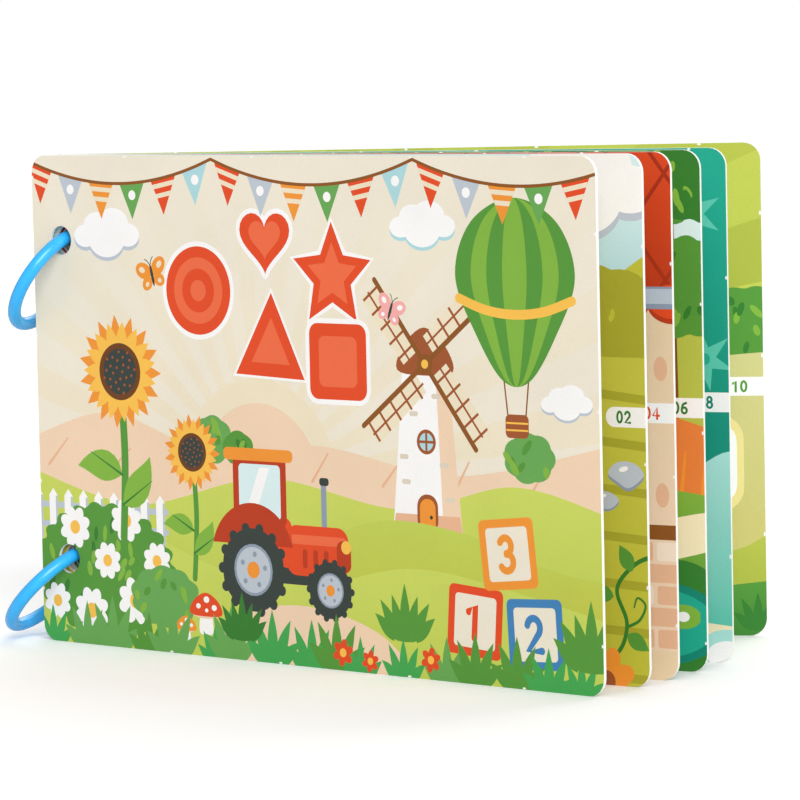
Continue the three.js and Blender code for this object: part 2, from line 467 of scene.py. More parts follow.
def sunflower(at, size, stalk):
    petals, seeds = 15, 26
    goldenAngle = 2.39996
    drawing = [(stroke([at - 1j * stalk, at - 0.5j * stalk + 1.2, at], size * 0.17), "leafGreen")]
    for down, lean in ((0.8, 60), (0.62, -62)):
        foot = at - 1j * stalk * down
        tip = foot + size * 0.85 * np.exp(1j * math.radians(92 - lean))
        drawing += [(blade(foot, size * 1.1, size * 0.55, lean, -22), "freshLeaf"),
                    (stroke([foot, tip], 0.7, 0.2), "deepLeaf")]
    for reach, ink, shift in ((1.0, "orange", 0), (0.88, "honey", 0.5)):
        for i in range(petals):
            turn = 360 / petals * (i + shift)
            foot = at + size * 0.3 * np.exp(1j * math.radians(turn))
            drawing.append((blade(foot, size * (reach - 0.3), size * 0.26, 90 - turn), ink))
    drawing += [(ellipse(at, size * 0.5), "darkBark"), (ellipse(at, size * 0.4), "night")]
    for i in range(seeds):
        seed = at + size * 0.078 * math.sqrt(i + 0.6) * np.exp(1j * goldenAngle * i)
        drawing.append((ellipse(seed, size * 0.026), "brown"))
    return drawing


def mushroom(at, size, cap="red"):
    drawing = [(smooth([at - 0.24 * size, at - 0.17 * size + 0.5j * size, at + 0.17 * size + 0.5j * size,
                        at + 0.24 * size, at - 0.08j * size]), "paper"),
               (ellipse(at + 0.46j * size, size * 0.5, size * 0.12), "clay"),
               (smooth([at - 0.56 * size + 0.46j * size, at - 0.44 * size + 0.8j * size, at + 1.02j * size,
                        at + 0.44 * size + 0.8j * size, at + 0.56 * size + 0.46j * size,
                        at + 0.4j * size]), cap)]
    for x, y, r in ((-0.27, 0.66, 0.08), (0.02, 0.84, 0.1), (0.29, 0.64, 0.09), (0.02, 0.56, 0.06)):
        drawing.append((ellipse(at + size * (x + 1j * y), size * r, size * r * 0.85), "paper"))
    return drawing


def foliage(at, rx, ry, seed, dabs=16, base="leafGreen"):
    dark = "leafGreen" if base == "tuft" else "deepLeaf"
    chance = random.Random(seed)
    drawing = [(scallop(at, rx, ry, int((rx + ry) / 2.1), 0.09, seed), base)]
    for i in range(dabs):
        angle = chance.uniform(0, 2 * math.pi)
        far = math.sqrt(chance.uniform(0.02, 0.72))
        place = at + far * (rx * math.cos(angle) + 1j * ry * math.sin(angle))
        drawing.append((ellipse(place, chance.uniform(1.4, 2.6), chance.uniform(0.8, 1.1),
                                chance.uniform(40, 140)), "freshLeaf" if i % 3 else dark))
    return drawing


# A string of flags, with bands and a dot on them in turn
def bunting(x0, x1, y, sag, flagInks):
    def hang(t):
        return x0 + (x1 - x0) * t + 1j * (y - sag * 4 * t * (1 - t))

    drawing = []
    for i, ink in enumerate(flagInks):
        a, b = hang((i + 0.1) / len(flagInks)), hang((i + 0.9) / len(flagInks))
        middle, wide = (a + b) / 2, abs(b - a)
        drawing.append((np.array([a, middle - 1.05j * wide, b]), ink))
        if i % 2:
            drawing.append((ellipse(middle - 0.36j * wide, wide * 0.14), "paper"))
            continue
        for drop in (0.14, 0.42):
            half = (0.5 - drop * 0.476) * 0.99
            top = 1j * (drop * wide)
            drawing.append((np.array([middle - half * (b - a) - top, middle + half * (b - a) - top,
                                      middle + (half - 0.06) * (b - a) - top - 0.13j * wide,
                                      middle - (half - 0.06) * (b - a) - top - 0.13j * wide]), "butter"))
    return drawing + [(stroke([hang(t) for t in np.linspace(0, 1, 13)], 0.9), "bark")]


def hotAirBalloon(at, size, ink, second):
    skirt = at - 1.32j * size
    drawing = []
    for x in (-0.2, 0.2):
        drawing.append((stroke([skirt + x * size, skirt + x * 0.75 * size - 0.42j * size], 0.5), "bark"))
    for wide, gore in ((0.98, ink), (0.72, second), (0.46, ink), (0.2, second)):
        half = wide * size
        drawing.append((smooth([at + 1j * size, at - half * 0.72 + 0.69j * size, at - half,
                                at - half * 0.66 - 0.75j * size, skirt - half * 0.22, skirt + half * 0.22,
                                at + half * 0.66 - 0.75j * size, at + half,
                                at + half * 0.72 + 0.69j * size]), gore))
    basket = skirt - 0.58j * size
    drawing.append((panel(basket.real - 0.19 * size, basket.imag - 0.14 * size, basket.real + 0.19 * size,
                          basket.imag + 0.16 * size, 0.07 * size), "brown"))
    for down in (-0.04, 0.05):
        left, right = (basket + side * 0.17 * size + 1j * down * size for side in (-1, 1))
        drawing.append((stroke([left, right], 0.5), "honey"))
    return drawing


def wheel(at, radius):
    drawing = [(ellipse(at + radius * np.exp(1j * math.radians(i * 360 / 14)), radius * 0.13), "night")
               for i in range(14)]
    drawing += [(ellipse(at, radius), "night"), (ellipse(at, radius * 0.62), "slate"),
                (ellipse(at, radius * 0.55), "mist"), (ellipse(at, radius * 0.2), "orange")]
    for i in range(5):
        bolt = at + radius * 0.38 * np.exp(1j * math.radians(i * 72 + 10))
        drawing.append((ellipse(bolt, radius * 0.065), "slate"))
    return drawing


def tractor(at, size):
    body = [
        (panel(-0.5, 0.2, 0.46, 0.34, 0.03), "night"),
        (stroke([0.32 + 0.55j, 0.32 + 0.86j], 0.045), "slate"),
        (panel(0.285, 0.84, 0.365, 0.89, 0.02), "night"),
        (panel(-0.01, 0.26, 0.52, 0.58, 0.09), "red"),
        (panel(0.03, 0.46, 0.5, 0.52, 0.025), "warmRed"),
        (panel(0.42, 0.3, 0.54, 0.5, 0.05), "darkRed"),
        (ellipse(0.5 + 0.46j, 0.042), "honey"),
        (panel(-0.52, 0.3, 0.04, 0.62, 0.06), "red"),
        (panel(-0.46, 0.56, 0.0, 1.0, 0.04), "darkRed"),
        (panel(-0.41, 0.6, -0.05, 0.95, 0.03), "paleSky"),
        (np.array([-0.36 + 0.62j, -0.27 + 0.62j, -0.14 + 0.93j, -0.23 + 0.93j]), "paper"),
        (panel(-0.54, 0.97, 0.06, 1.05, 0.035), "orange"),
        (ellipse(-0.3 + 0.34j, 0.36, 0.36, 0, 15, 150), "darkRed"),
    ]
    for i in range(3):
        body.append((panel(0.13 + i * 0.09, 0.31, 0.17 + i * 0.09, 0.43, 0.018), "darkRed"))
    body += wheel(-0.3 + 0.27j, 0.27) + wheel(0.36 + 0.18j, 0.18)
    return moved(body, at, size)


def windmill(at, size):
    hub = 0.74j
    body = [
        (np.array([-0.2, 0.2, 0.13 + 0.72j, -0.13 + 0.72j]), "paper"),
        (np.array([0.09, 0.2, 0.13 + 0.72j, 0.06 + 0.72j]), "clay"),
        (np.array([-0.2, 0.2, 0.185 + 0.08j, -0.185 + 0.08j]), "mortar"),
        (smooth([-0.16 + 0.71j, -0.12 + 0.82j, 0.9j, 0.12 + 0.82j, 0.16 + 0.71j, 0.69j]), "brown"),
        (panel(-0.06, 0, 0.06, 0.17, 0.055), "brown"),
        (panel(-0.045, 0, 0.045, 0.15, 0.04), "orange"),
        (ellipse(0.02 + 0.07j, 0.009), "night"),
        (ellipse(0.4j, 0.055), "brown"), (ellipse(0.4j, 0.04), "sky"),
        (stroke([0.36j, 0.44j], 0.012), "brown"), (stroke([-0.04 + 0.4j, 0.04 + 0.4j], 0.012), "brown"),
    ]
    for x, y in ((-0.12, 0.22), (0.1, 0.3), (-0.07, 0.52), (0.06, 0.6), (-0.13, 0.33), (0.13, 0.15)):
        body.append((panel(x - 0.025, y - 0.01, x + 0.025, y + 0.012, 0.006), "shadow"))
    for arm in range(4):
        turn = np.exp(1j * math.radians(38 + 90 * arm))
        sail = [(np.array([0.07 + 0.012j, 0.44 + 0.012j, 0.44 + 0.115j, 0.07 + 0.1j]), "butter")]
        for rung in range(5):
            x = 0.1 + rung * 0.08
            sail.append((np.array([x, x + 0.012, x + 0.012 + 0.11j, x + 0.11j]), "brown"))
        sail += [(np.array([0.06 + 0.055j, 0.44 + 0.06j, 0.44 + 0.07j, 0.06 + 0.065j]), "brown"),
                 (stroke([0, 0.46], 0.024), "bark")]
        body += [(hub + turn * points, ink) for points, ink in sail]
    body += [(ellipse(hub, 0.045), "bark"), (ellipse(hub, 0.02), "honey")]
    return moved(body, at, size)


def toyBlock(at, size, ink, text, turn=0):
    face = [(panel(-0.5, -0.5, 0.5, 0.5, 0.09), ink), (panel(-0.38, -0.38, 0.38, 0.38, 0.06), "cream")]
    return moved(face + number(text, 0, 0.56, ink), at, size, turn)


def fence(x0, x1, y, height, posts):
    drawing = []
    for rail in (0.3, 0.68):
        level = y + height * rail
        drawing.append((panel(x0, level - 0.9, x1, level + 0.9, 0.3), "mist"))
    for i in range(posts):
        x = x0 + (x1 - x0) * (i + 0.5) / posts
        drawing += [(np.array([x - 1.7 + 1j * y, x + 1.7 + 1j * y, x + 1.7 + 1j * (y + height - 2),
                               x + 1j * (y + height), x - 1.7 + 1j * (y + height - 2)]), "paper"),
                    (panel(x + 0.9, y, x + 1.7, y + height - 2.2), "mist")]
    return drawing


def stones(seed, places):
    chance = random.Random(seed)
    drawing = []
    for x, y, r in places:
        at = x + 1j * y
        outline = [at + r * chance.uniform(0.85, 1.1) * np.exp(1j * math.radians(a)) * (1 if a % 180 else 1.2)
                   for a in range(0, 360, 45)]
        outline = [at + (p - at).real + 0.72j * (p - at).imag for p in outline]
        drawing += [(smooth(outline) - 0.18j * r, "slate"), (smooth(outline), "mist")]
        drawing += [(ellipse(at - 0.25 * r + 0.25j * r, r * 0.3, r * 0.14, 15), "paper")]
    return drawing


def butterfly(at, size, wing, spots, turn):
    body = []
    for side in (1, -1):
        body += [(ellipse(side * 0.42 + 0.28j, 0.46, 0.33, side * 32), wing),
                 (ellipse(side * 0.34 - 0.26j, 0.32, 0.26, side * -35), wing),
                 (ellipse(side * 0.5 + 0.34j, 0.17, 0.12, side * 32), spots),
                 (ellipse(side * 0.36 - 0.3j, 0.11, 0.09, side * -35), spots),
                 (stroke([0.42j, side * 0.12 + 0.62j, side * 0.24 + 0.72j], 0.04), "night")]
    body.append((ellipse(0, 0.075, 0.46), "night"))
    return moved(body, at, size, turn)


def toyTrain(at, size, wagons=2):
    body = [(panel(-0.1, 0.16, 1.15, 0.3, 0.04), "night"), (panel(-0.08, 0.26, 0.42, 1.0, 0.05), "red"),
            (panel(0.02, 0.6, 0.3, 0.88, 0.04), "paleSky"), (panel(-0.14, 0.97, 0.48, 1.07, 0.05), "orange"),
            (panel(0.36, 0.28, 1.08, 0.72, 0.16), "blue"), (panel(0.5, 0.28, 0.56, 0.72), "honey"),
            (panel(0.82, 0.28, 0.88, 0.72), "honey"),
            (np.array([0.84 + 0.7j, 0.8 + 1.02j, 1.06 + 1.02j, 1.0 + 0.7j]), "darkRed"),
            (panel(0.77, 0.98, 1.09, 1.07, 0.04), "honey"), (ellipse(0.62 + 0.74j, 0.09), "honey"),
            (np.array([1.12 + 0.3j, 1.12 + 0.12j, 1.34 + 0.08j]), "red")]
    for x, r in ((0.14, 0.2), (0.62, 0.14), (0.96, 0.14)):
        axle = x + (r - 0.02) * 1j
        body += [(ellipse(axle, r), "night"), (ellipse(axle, r * 0.62), "honey"),
                 (ellipse(axle, r * 0.22), "red")]
    for i in range(wagons):
        left = -1.05 - i * 1.02
        body += [(stroke([left + 0.84 + 0.24j, left + 1.02 + 0.24j], 0.05), "night"),
                 (panel(left, 0.16, left + 0.86, 0.24, 0.03), "night"),
                 (panel(left + 0.02, 0.22, left + 0.84, 0.56, 0.05), ("meadow", "orange")[i % 2])]
        for k in range(3):
            load = left + 0.2 + k * 0.23 + 0.66j
            body.append([(ellipse(load, 0.13), "honey"), (star(load, 0.17, 0.08), "red"),
                         (ellipse(load, 0.12), "blue")][(k + i) % 3])
        body.append((panel(left + 0.02, 0.3, left + 0.84, 0.52, 0.04), ("tuft", "honey")[i % 2]))
        for x in (0.2, 0.66):
            body += [(ellipse(left + x + 0.12j, 0.13), "night"), (ellipse(left + x + 0.12j, 0.07), "mist")]
    return moved(body, at, size)


# Small marks in two inks: a disc, a star, a heart, a square, a triangle and a flower
def motifs(ink, second):
    return [
        [(ellipse(0, 1), ink), (ellipse(0, 0.45), second)],
        [(star(0, 1.15, 0.54), ink)],
        [(heart(-0.1j, 2.1), ink)],
        [(panel(-0.85, -0.85, 0.85, 0.85, 0.2), ink), (panel(-0.4, -0.4, 0.4, 0.4, 0.1), second)],
        [(np.array([-1 - 0.8j, 1 - 0.8j, 1j]), ink)],
        flower(0, 1.2, ink, second),
    ]


# The cover: shapes over rolling fields, with a tractor, a windmill, a balloon, blocks and sunflowers
def drawCover():
    sun = 88 + 50j
    art = ground(fade("cream", "butter", 140j, 40j)) + sunburst(sun, 190, 15, "cream", 2, 176)
    art += [(ellipse(sun, 30), "butter"), (ellipse(sun, 23), "clay")]
    art += cloud(30 + 118j, 9) + cloud(150 + 122j, 8, "paper", "sky")
    art += cloud(120 + 84j, 5) + cloud(199 + 76j, 6)
    art += [(below([-2 + 60j, 30 + 68j, 70 + 58j, 110 + 62j, 160 + 56j, 212 + 66j]), "clay")]
    for i in range(9):
        art.append((stroke([4 + i * 26 + 52j, 12 + i * 25.5 + (60 - i % 2 * 2) * 1j], 0.9, 0.5), "mortar"))
    art += foliage(70 + 62j, 8, 7, 31, 7, "tuft") + foliage(80 + 60j, 6, 5, 32, 6)
    art += foliage(186 + 62j, 9, 7, 33, 7, "tuft")
    art += [(below([-2 + 50j, 40 + 42j, 90 + 52j, 140 + 46j, 180 + 54j, 212 + 48j]),
             fade("lime", "grass", 55j, 25j))]
    art += windmill(150 + 40j, 62)
    art += [(below([100 + 30j, 130 + 42j, 160 + 41j, 190 + 33j, 212 + 30j]), fade("grass", "field", 42j, 5j)),
            (below([-2 + 34j, 30 + 38j, 70 + 26j, 110 + 24j, 150 + 30j, 212 + 20j]),
             fade("lime", "grass", 36j, 0j)),
            (below([60 - 4j, 78 + 12j, 104 + 17j, 132 + 11j, 150 - 4j], -4), "clay")]
    art += fence(-4, 52, 30, 15, 9) + foliage(26 + 22j, 29, 20, 7, 26)
    for i, (x, y) in enumerate(((6, 12), (14, 34), (20, 10), (27, 25), (35, 37), (38, 14), (47, 26))):
        art += flower(x + 1j * y, 5.2 + (i % 3) * 0.7, "paper", "honey", 8)
    art += sunflower(34 + 80j, 16.5, 48) + sunflower(62 + 58j, 11, 36)
    art += foliage(50 + 16j, 14, 9, 9, 9, "tuft") + tractor(98 + 14j, 44)
    art += toyBlock(166 + 17j, 19, "red", "1", -4) + toyBlock(187 + 15j, 19, "blue", "2", 3)
    art += toyBlock(178 + 36j, 19, "orange", "3", 6)
    art += mushroom(66 + 7j, 11) + mushroom(58 + 4j, 7, "orange")
    art += tuftRow(3, 208, -3.5, 15, 17, ["leafGreen", "tuft", "meadow"])
    art += tuft(141 + 8j, 15, "leafGreen", 7) + tuft(206 + 4j, 18, "leafGreen", 7)
    art += tuft(80 + 4j, 13, "deepLeaf", 7)
    for x, y, r in ((118, 5, 2.6), (128, 3.4, 2.1), (150, 5.4, 2.4)):
        art += flower(x + 1j * y, r * 1.4, "red", "honey")
    for outline in (ellipse(66 + 104j, 12.5), np.array([80 + 81j, 106 + 80j, 94 + 104j]),
                    star(117 + 109j, 15, 7.2), panel(108, 79, 129, 100, 3) - 4j, heart(92 + 119j, 19)):
        art += rimmed(outline, "red")
    art += [(ellipse(66 + 104j, 9.4), "warmRed"), (ellipse(66 + 104j, 6.2), "red"),
            (ellipse(66 + 104j, 3), "warmRed"), (np.array([86 + 84.5j, 100.5 + 84j, 93.8 + 97j]), "warmRed"),
            (star(117 + 109j, 9.4, 4.5), "warmRed"), (panel(111.5, 78.5, 125.5, 92.5, 2), "warmRed"),
            (heart(92 + 119.4j, 12), "warmRed")]
    art += hotAirBalloon(182 + 110j, 21, "leafGreen", "freshLeaf")
    art += [(stroke([162.5 + 104j, 172 + 101j, 182 + 100j, 192 + 101j, 201.5 + 104j], 2.6), "honey")]
    for x in (-3, 72, 147):
        art += bunting(x, x + 75, 141, 7, ["red", "mist", "orange", "tuft", "red", "sky"])
    art += butterfly(48 + 108j, 7, "orange", "butter", 15) + butterfly(138 + 100j, 6, "pink", "paper", -20)
    return art


# Page 02: rows of vegetables under olive hills, with a kite
def drawPage02():
    art = ground(fade("paleSky", "sky", 142j, 96j))
    art += cloud(190 + 130j, 17) + cloud(120 + 122j, 10) + cloud(46 + 118j, 13)
    art += [(below([-2 + 96j, 40 + 108j, 84 + 94j, 130 + 102j, 176 + 98j, 212 + 116j]), "field"),
            (scallop(30 + 92j, 36, 16, 11, 0.07), "olive"), (scallop(196 + 92j, 24, 21, 9, 0.07), "olive"),
            (scallop(112 + 90j, 34, 11, 12, 0.07), "olive")]
    chance = random.Random(21)
    for _ in range(46):
        spot = chance.uniform(2, 208) + 1j * chance.uniform(90, 106)
        wide, tall = 0.7 * chance.uniform(0.6, 1.1), 0.7 * 2.4 * chance.uniform(0.6, 1.1)
        art.append((ellipse(spot, wide, tall, chance.uniform(-15, 15)), "field"))
    art += [(below([-2 + 88j, 212 + 88j]), fade("ochre", "field", 90j, 10j))]
    for i in range(7):
        art.append((stroke([-4 + (4 + i * 13) * 1j, 70 + (6 + i * 13.4) * 1j, 140 + (4 + i * 13.2) * 1j,
                            214 + (2 + i * 12.4) * 1j], 2.4), "olive"))
    for row in range(4):
        for i in range(6):
            at = 20 + i * 27 + (row % 2) * 12 + (12 + row * 20) * 1j
            if row % 2:
                art += [(ellipse(at + 0.6j, 5.2, 2.2), "olive"), (ellipse(at + 3.5j, 5.6, 4.8), "tuft"),
                        (ellipse(at - 2.2 + 3.4j, 3.2, 4, 20), "freshLeaf"),
                        (ellipse(at + 2.2 + 3.4j, 3.2, 4, -20), "freshLeaf"),
                        (ellipse(at + 4j, 2.6, 3), "lime")]
            else:
                art += [(blade(at + 6j, -9, 5.4), "pumpkin"),
                        (stroke([at - 1 + 3.4j, at + 0.8 + 3.2j], 0.4), "red")]
                art += tuft(at + 5j, 8, "leafGreen", 4, 50)
    art += stones(5, [(176, 56, 5.4), (186, 52, 4), (204, 57, 5), (197, 50, 3.4), (60, 84, 4), (68, 82, 3)])
    kite = [(np.array([-1, 0.8j, 1, -1.25j]), "red"), (np.array([0.8j, 1, -1.25j]), "warmRed"),
            (stroke([-1, 1], 0.06, curved=False), "cream"),
            (stroke([0.8j, -1.25j], 0.06, curved=False), "cream"),
            (stroke([-1.25j, 0.3 - 1.9j, -0.2 - 2.5j, 0.3 - 3.2j], 0.07), "bark")]
    art += moved(kite, 84 + 120j, 13, 18) + butterfly(150 + 100j, 7, "orange", "butter", 12)
    vine = [214 + 36j, 206 + 33j, 200 + 26j, 203 + 17j, 200 + 9j, 191 + 5j, 184 - 3j]
    curl = [203 + 16j, 207 + 18j, 209 + 22j, 206.5 + 24j, 205.4 + 21.4j]
    art += [(stroke(vine, 1.2), "deepLeaf"), (stroke(curl, 0.9, 0.5), "deepLeaf")]
    for at, lean in ((205 + 31j, -30), (199 + 24j, -80), (203 + 14j, 120), (192 + 7j, -40)):
        art.append((blade(at, 8, 4.6, lean), "leafGreen"))
    art += flower(196 + 1j, 9, "orange", "brown", 7) + flower(176 + 4j, 6, "pumpkin", "honey")
    return art + tuftRow(11, 190, 0, 8, 16, ["leafGreen", "tuft"]) + numberTab("02", "deepLeaf")


# Page 04: a play corner with a quilted curtain, papered wall, shelf of toys and tiled skirting
def drawPage04():
    art = ground(fade("tan", "clay", 92j, 40j))
    for i in range(16):
        for j in range(3):
            art.append((ellipse(10 + i * 14 + (j % 2) * 7 + (84 - j * 17) * 1j, 2.1, 3.3), "mortar"))
    art += [(panel(-1, 101, 211, 143), fade("red", "darkRed", 142j, 101j))]
    for x in range(-40, 250, 22):
        for start, end in ((x, x + 34), (x + 34, x)):
            art.append((stroke([start + 100j, end + 144j], 1.1, curved=False), "deepRed"))
    for i in range(15):
        art += [(ellipse(i * 15 + 101j, 7.6, 5), "darkRed"), (ellipse(i * 15 + 102j, 7.2, 4.6), "red")]
    art += [(panel(-1, 100, 211, 106, 1), "slate"), (panel(-1, 101.4, 211, 105.4, 1), "mist"),
            (panel(66, 50, 116, 92, 3), "paper"), (panel(69, 53, 113, 89, 2), "sky")]
    art += cloud(84 + 78j, 7) + [(below([69 + 62j, 84 + 68j, 98 + 61j, 113 + 66j], 53), "tuft")]
    art += [(stroke([91 + 53j, 91 + 89j], 1.6), "paper"), (stroke([69 + 71j, 113 + 71j], 1.6), "paper"),
            (panel(130, 60, 192, 63.5, 1), "bark"), (panel(136, 54, 140, 60), "darkBark"),
            (panel(182, 54, 186, 60), "darkBark")]
    art += toyBlock(142 + 70j, 13, "blue", "5") + toyBlock(158 + 70j, 13, "meadow", "7", 4)
    ball = 178 + 70.5j
    art += [(ellipse(ball, 7), "red"), (ellipse(ball, 2.6, 7), "cream"), (ellipse(ball, 7, 1.5), "honey"),
            (panel(-1, -1, 211, 40), "clay"), (panel(-1, 38, 211, 42, 1), "bark"),
            (panel(-1, -1, 211, 8), "tan")]
    for row in range(5):
        for i in range(13):
            x, y = i * 18 - 12 + (row % 2) * 9, row * 5.9
            brick = "mortar" if (i + row * 2) % 5 else "paleBrick"
            art.append((panel(x, 8.7 + y, x + 16.8, 13.7 + y, 0.8), brick))
    art += [(panel(14, 20, 52, 24, 1.5), "bark"), (panel(18, 2, 22, 21), "darkBark"),
            (panel(44, 2, 48, 21), "darkBark"), (panel(24, 24, 43, 39, 3), "pumpkin"),
            (panel(22, 36, 45, 40, 1.5), "orange")]
    for x, lean in ((28, -24), (31, -8), (36, 10), (39, 26)):
        art.append((stroke([x + 38j, x + lean * 0.25 + 54j], 1), "leafGreen"))
        art += flower(x + lean * 0.3 + 56j, 4.6, ("red", "paper", "honey", "pink")[(x // 3) % 4], "brown")
    return art + toyTrain(78 + 4j, 24) + numberTab("04", "red")


# Page 06: a wood with a path and a pond
def drawPage06():
    art = ground(fade("paleSky", "ice", 120j, 70j))
    art += [(below([-2 + 84j, 50 + 92j, 110 + 82j, 170 + 98j, 212 + 94j]), "moss")]
    for x, wide in ((22, 9), (62, 6), (104, 8), (146, 6), (199, 8)):
        trunk = [x - wide / 2 + 50j, x + wide / 2 + 50j, x + wide * 0.36 + 126j, x - wide * 0.36 + 126j]
        art += [(np.array(trunk), fade("bark", "darkBark", 50j, 126j)),
                (stroke([x + 96j, x + wide + 104j, x + wide * 1.5 + 118j], wide * 0.4, 1.4), "darkBark"),
                (stroke([x - 1 + 58j, x - 1.2 + 82j], 0.8), "darkBark")]
    for i, x in enumerate(range(-4, 220, 24)):
        tone = ("leafGreen", "deepLeaf")[i % 2]
        art += foliage(x + (131 + (i % 2) * 4) * 1j, 22, 13, 40 + i, 20, tone)
    art += foliage(204 + 105j, 20, 14, 62) + foliage(36 + 72j, 20, 12, 63, 14)
    art += foliage(126 + 70j, 22, 11, 64, 14, "tuft")
    art += [(below([-2 + 66j, 60 + 58j, 120 + 64j, 212 + 58j]), fade("freshLeaf", "leafGreen", 66j, 4j)),
            (below([150 + 54j, 166 + 64j, 186 + 72j, 214 + 66j], 40), "pumpkin")]
    for i in range(9):
        art.append((stroke([158 + i * 6.4 + 46j, 161 + i * 6.2 + (58 + i % 3 * 2) * 1j], 1.4, 0.6), "orange"))
    art += [(below([140 + 44j, 170 + 52j, 214 + 48j]), fade("freshLeaf", "leafGreen", 52j, 10j)),
            (smooth([-4 + 44j, 40 + 40j, 90 + 50j, 150 + 34j, 214 + 44j, 214 + 34j, 150 + 24j, 90 + 36j,
                     40 + 26j, -4 + 30j]), "sand"),
            (scallop(196 + 14j, 30, 17, 12, 0.05), "deepLeaf"), (ellipse(192 + 13j, 24, 12), "deepTeal"),
            (ellipse(192 + 13j, 21, 10), "teal")]
    for x, y, r in ((203, 15, 5.4), (186, 9, 4.4), (182, 17, 3.4)):
        art += [(ellipse(x + 1j * y, r, r * 0.62, 0, 20, 320), "freshLeaf"),
                (ellipse(x + 1j * y, r * 0.36, r * 0.26), "paper")]
    for at, size, cap in ((30 + 12j, 17, "red"), (46 + 8j, 11, "orange"), (18 + 6j, 10, "orange"),
                          (118 + 10j, 14, "red"), (130 + 7j, 9, "pumpkin")):
        art += mushroom(at, size, cap)
    log = [(panel(-1, -0.3, 1, 0.3, 0.28), "bark"), (ellipse(1, 0.22, 0.3), "clay"),
           (ellipse(1, 0.12, 0.17), "tan"), (stroke([-0.8 + 0.12j, 0.5 + 0.1j], 0.05), "darkBark"),
           (stroke([-0.6 - 0.1j, 0.7 - 0.12j], 0.05), "darkBark")]
    art += moved(log, 82 + 14j, 15, 4) + butterfly(84 + 78j, 7, "orange", "butter", 10)
    art += butterfly(60 + 62j, 5, "pink", "paper", -14) + stones(8, [(150, 14, 4.6), (158, 9, 3.6)])
    return art + tuftRow(17, 160, 0, 10, 12, ["deepLeaf", "tuft"]) + numberTab("06", "deepLeaf")


# Page 08: under the sea
def drawPage08():
    art = ground(fade("teal", "deepTeal", 142j, 30j))
    for x in (20, 74, 128, 182):
        art.append((np.array([x + 144j, x + 12 + 144j, x - 6 + 40j, x - 34 + 40j]), "softTeal"))
    reef = smooth([150 - 4j, 168 + 30j, 190 + 46j, 214 + 56j, 214 - 4j])
    art += [(reef, fade("ice", "paleTeal", 50j, 10j))]
    chance = random.Random(12)
    for at in (200 + 124j, 186 + 98j, 203 + 84j, 168 + 118j, 150 + 92j, 40 + 126j, 14 + 92j, 120 + 126j,
               88 + 60j):
        art += [(star(at, 9, 3.4, 6, chance.uniform(0, 60)), "paleTeal"), (ellipse(at, 1.6), "teal")]
    for x, tall, ink in ((16, 52, "leafGreen"), (26, 40, "meadow"), (60, 34, "deepLeaf"), (118, 44, "meadow"),
                         (128, 32, "leafGreen"), (172, 30, "deepLeaf")):
        for side in (-1, 1):
            weed = [x + 0j, x + side * 4 + tall * 0.35j, x + side * 1 + tall * 0.7j, x + side * 6 + tall * 1j]
            art.append((stroke(weed, 3.4, 1.2), ink))
    fishes = ((60 + 100j, 13, "orange", "butter", False), (104 + 84j, 10, "red", "paper", True),
              (34 + 68j, 9, "honey", "red", False), (146 + 60j, 12, "pink", "warmRed", True),
              (84 + 122j, 8, "paper", "blue", False))
    for at, size, ink, stripe, mirror in fishes:
        fish = [(np.array([-0.85, -1.5 + 0.55j, -1.35, -1.5 - 0.55j]), stripe),
                (smooth([-0.1 + 0.5j, -0.4 + 0.95j, 0.4 + 0.5j]), stripe),
                (smooth([-1, -0.3 + 0.62j, 0.6 + 0.5j, 1.05, 0.6 - 0.5j, -0.3 - 0.62j]), ink),
                (np.array([-0.12 - 0.6j, 0.12 - 0.6j, 0.12 + 0.6j, -0.12 + 0.6j]), stripe),
                (np.array([-0.55 - 0.4j, -0.4 - 0.48j, -0.4 + 0.48j, -0.55 + 0.4j]), stripe),
                (ellipse(0.6 + 0.14j, 0.16), "paper"), (ellipse(0.64 + 0.14j, 0.085), "night")]
        art += moved(fish, at, size, 0, mirror)
    for i in range(26):
        bubble = chance.uniform(4, 206) + 1j * chance.uniform(50, 138)
        art.append((ellipse(bubble, chance.uniform(0.8, 2.4)), "paleTeal"))
    art += [(below([-2 + 12j, 40 + 17j, 90 + 11j, 140 + 16j, 212 + 10j]), "sand")]
    for i in range(15):
        x = 4 + i * 14.6
        art += [(ellipse(x + 3j, 8.4, 6.2), "ice"), (ellipse(x + 2j, 6, 4), "paper")]
    for at, ink in ((48 + 18j, "pink"), (96 + 16j, "warmRed"), (150 + 18j, "honey")):
        shell = [(smooth([-1, -0.8 + 0.7j, 1.05j, 0.8 + 0.7j, 1, -0.35j]), ink)]
        for rib in (35, 62, 90, 118, 145):
            shell.append((stroke([-0.28j, 0.85 * np.exp(1j * math.radians(rib))], 0.08), "paper"))
        art += moved(shell, at, 7.5, 8)
    return art + numberTab("08", "deepTeal")


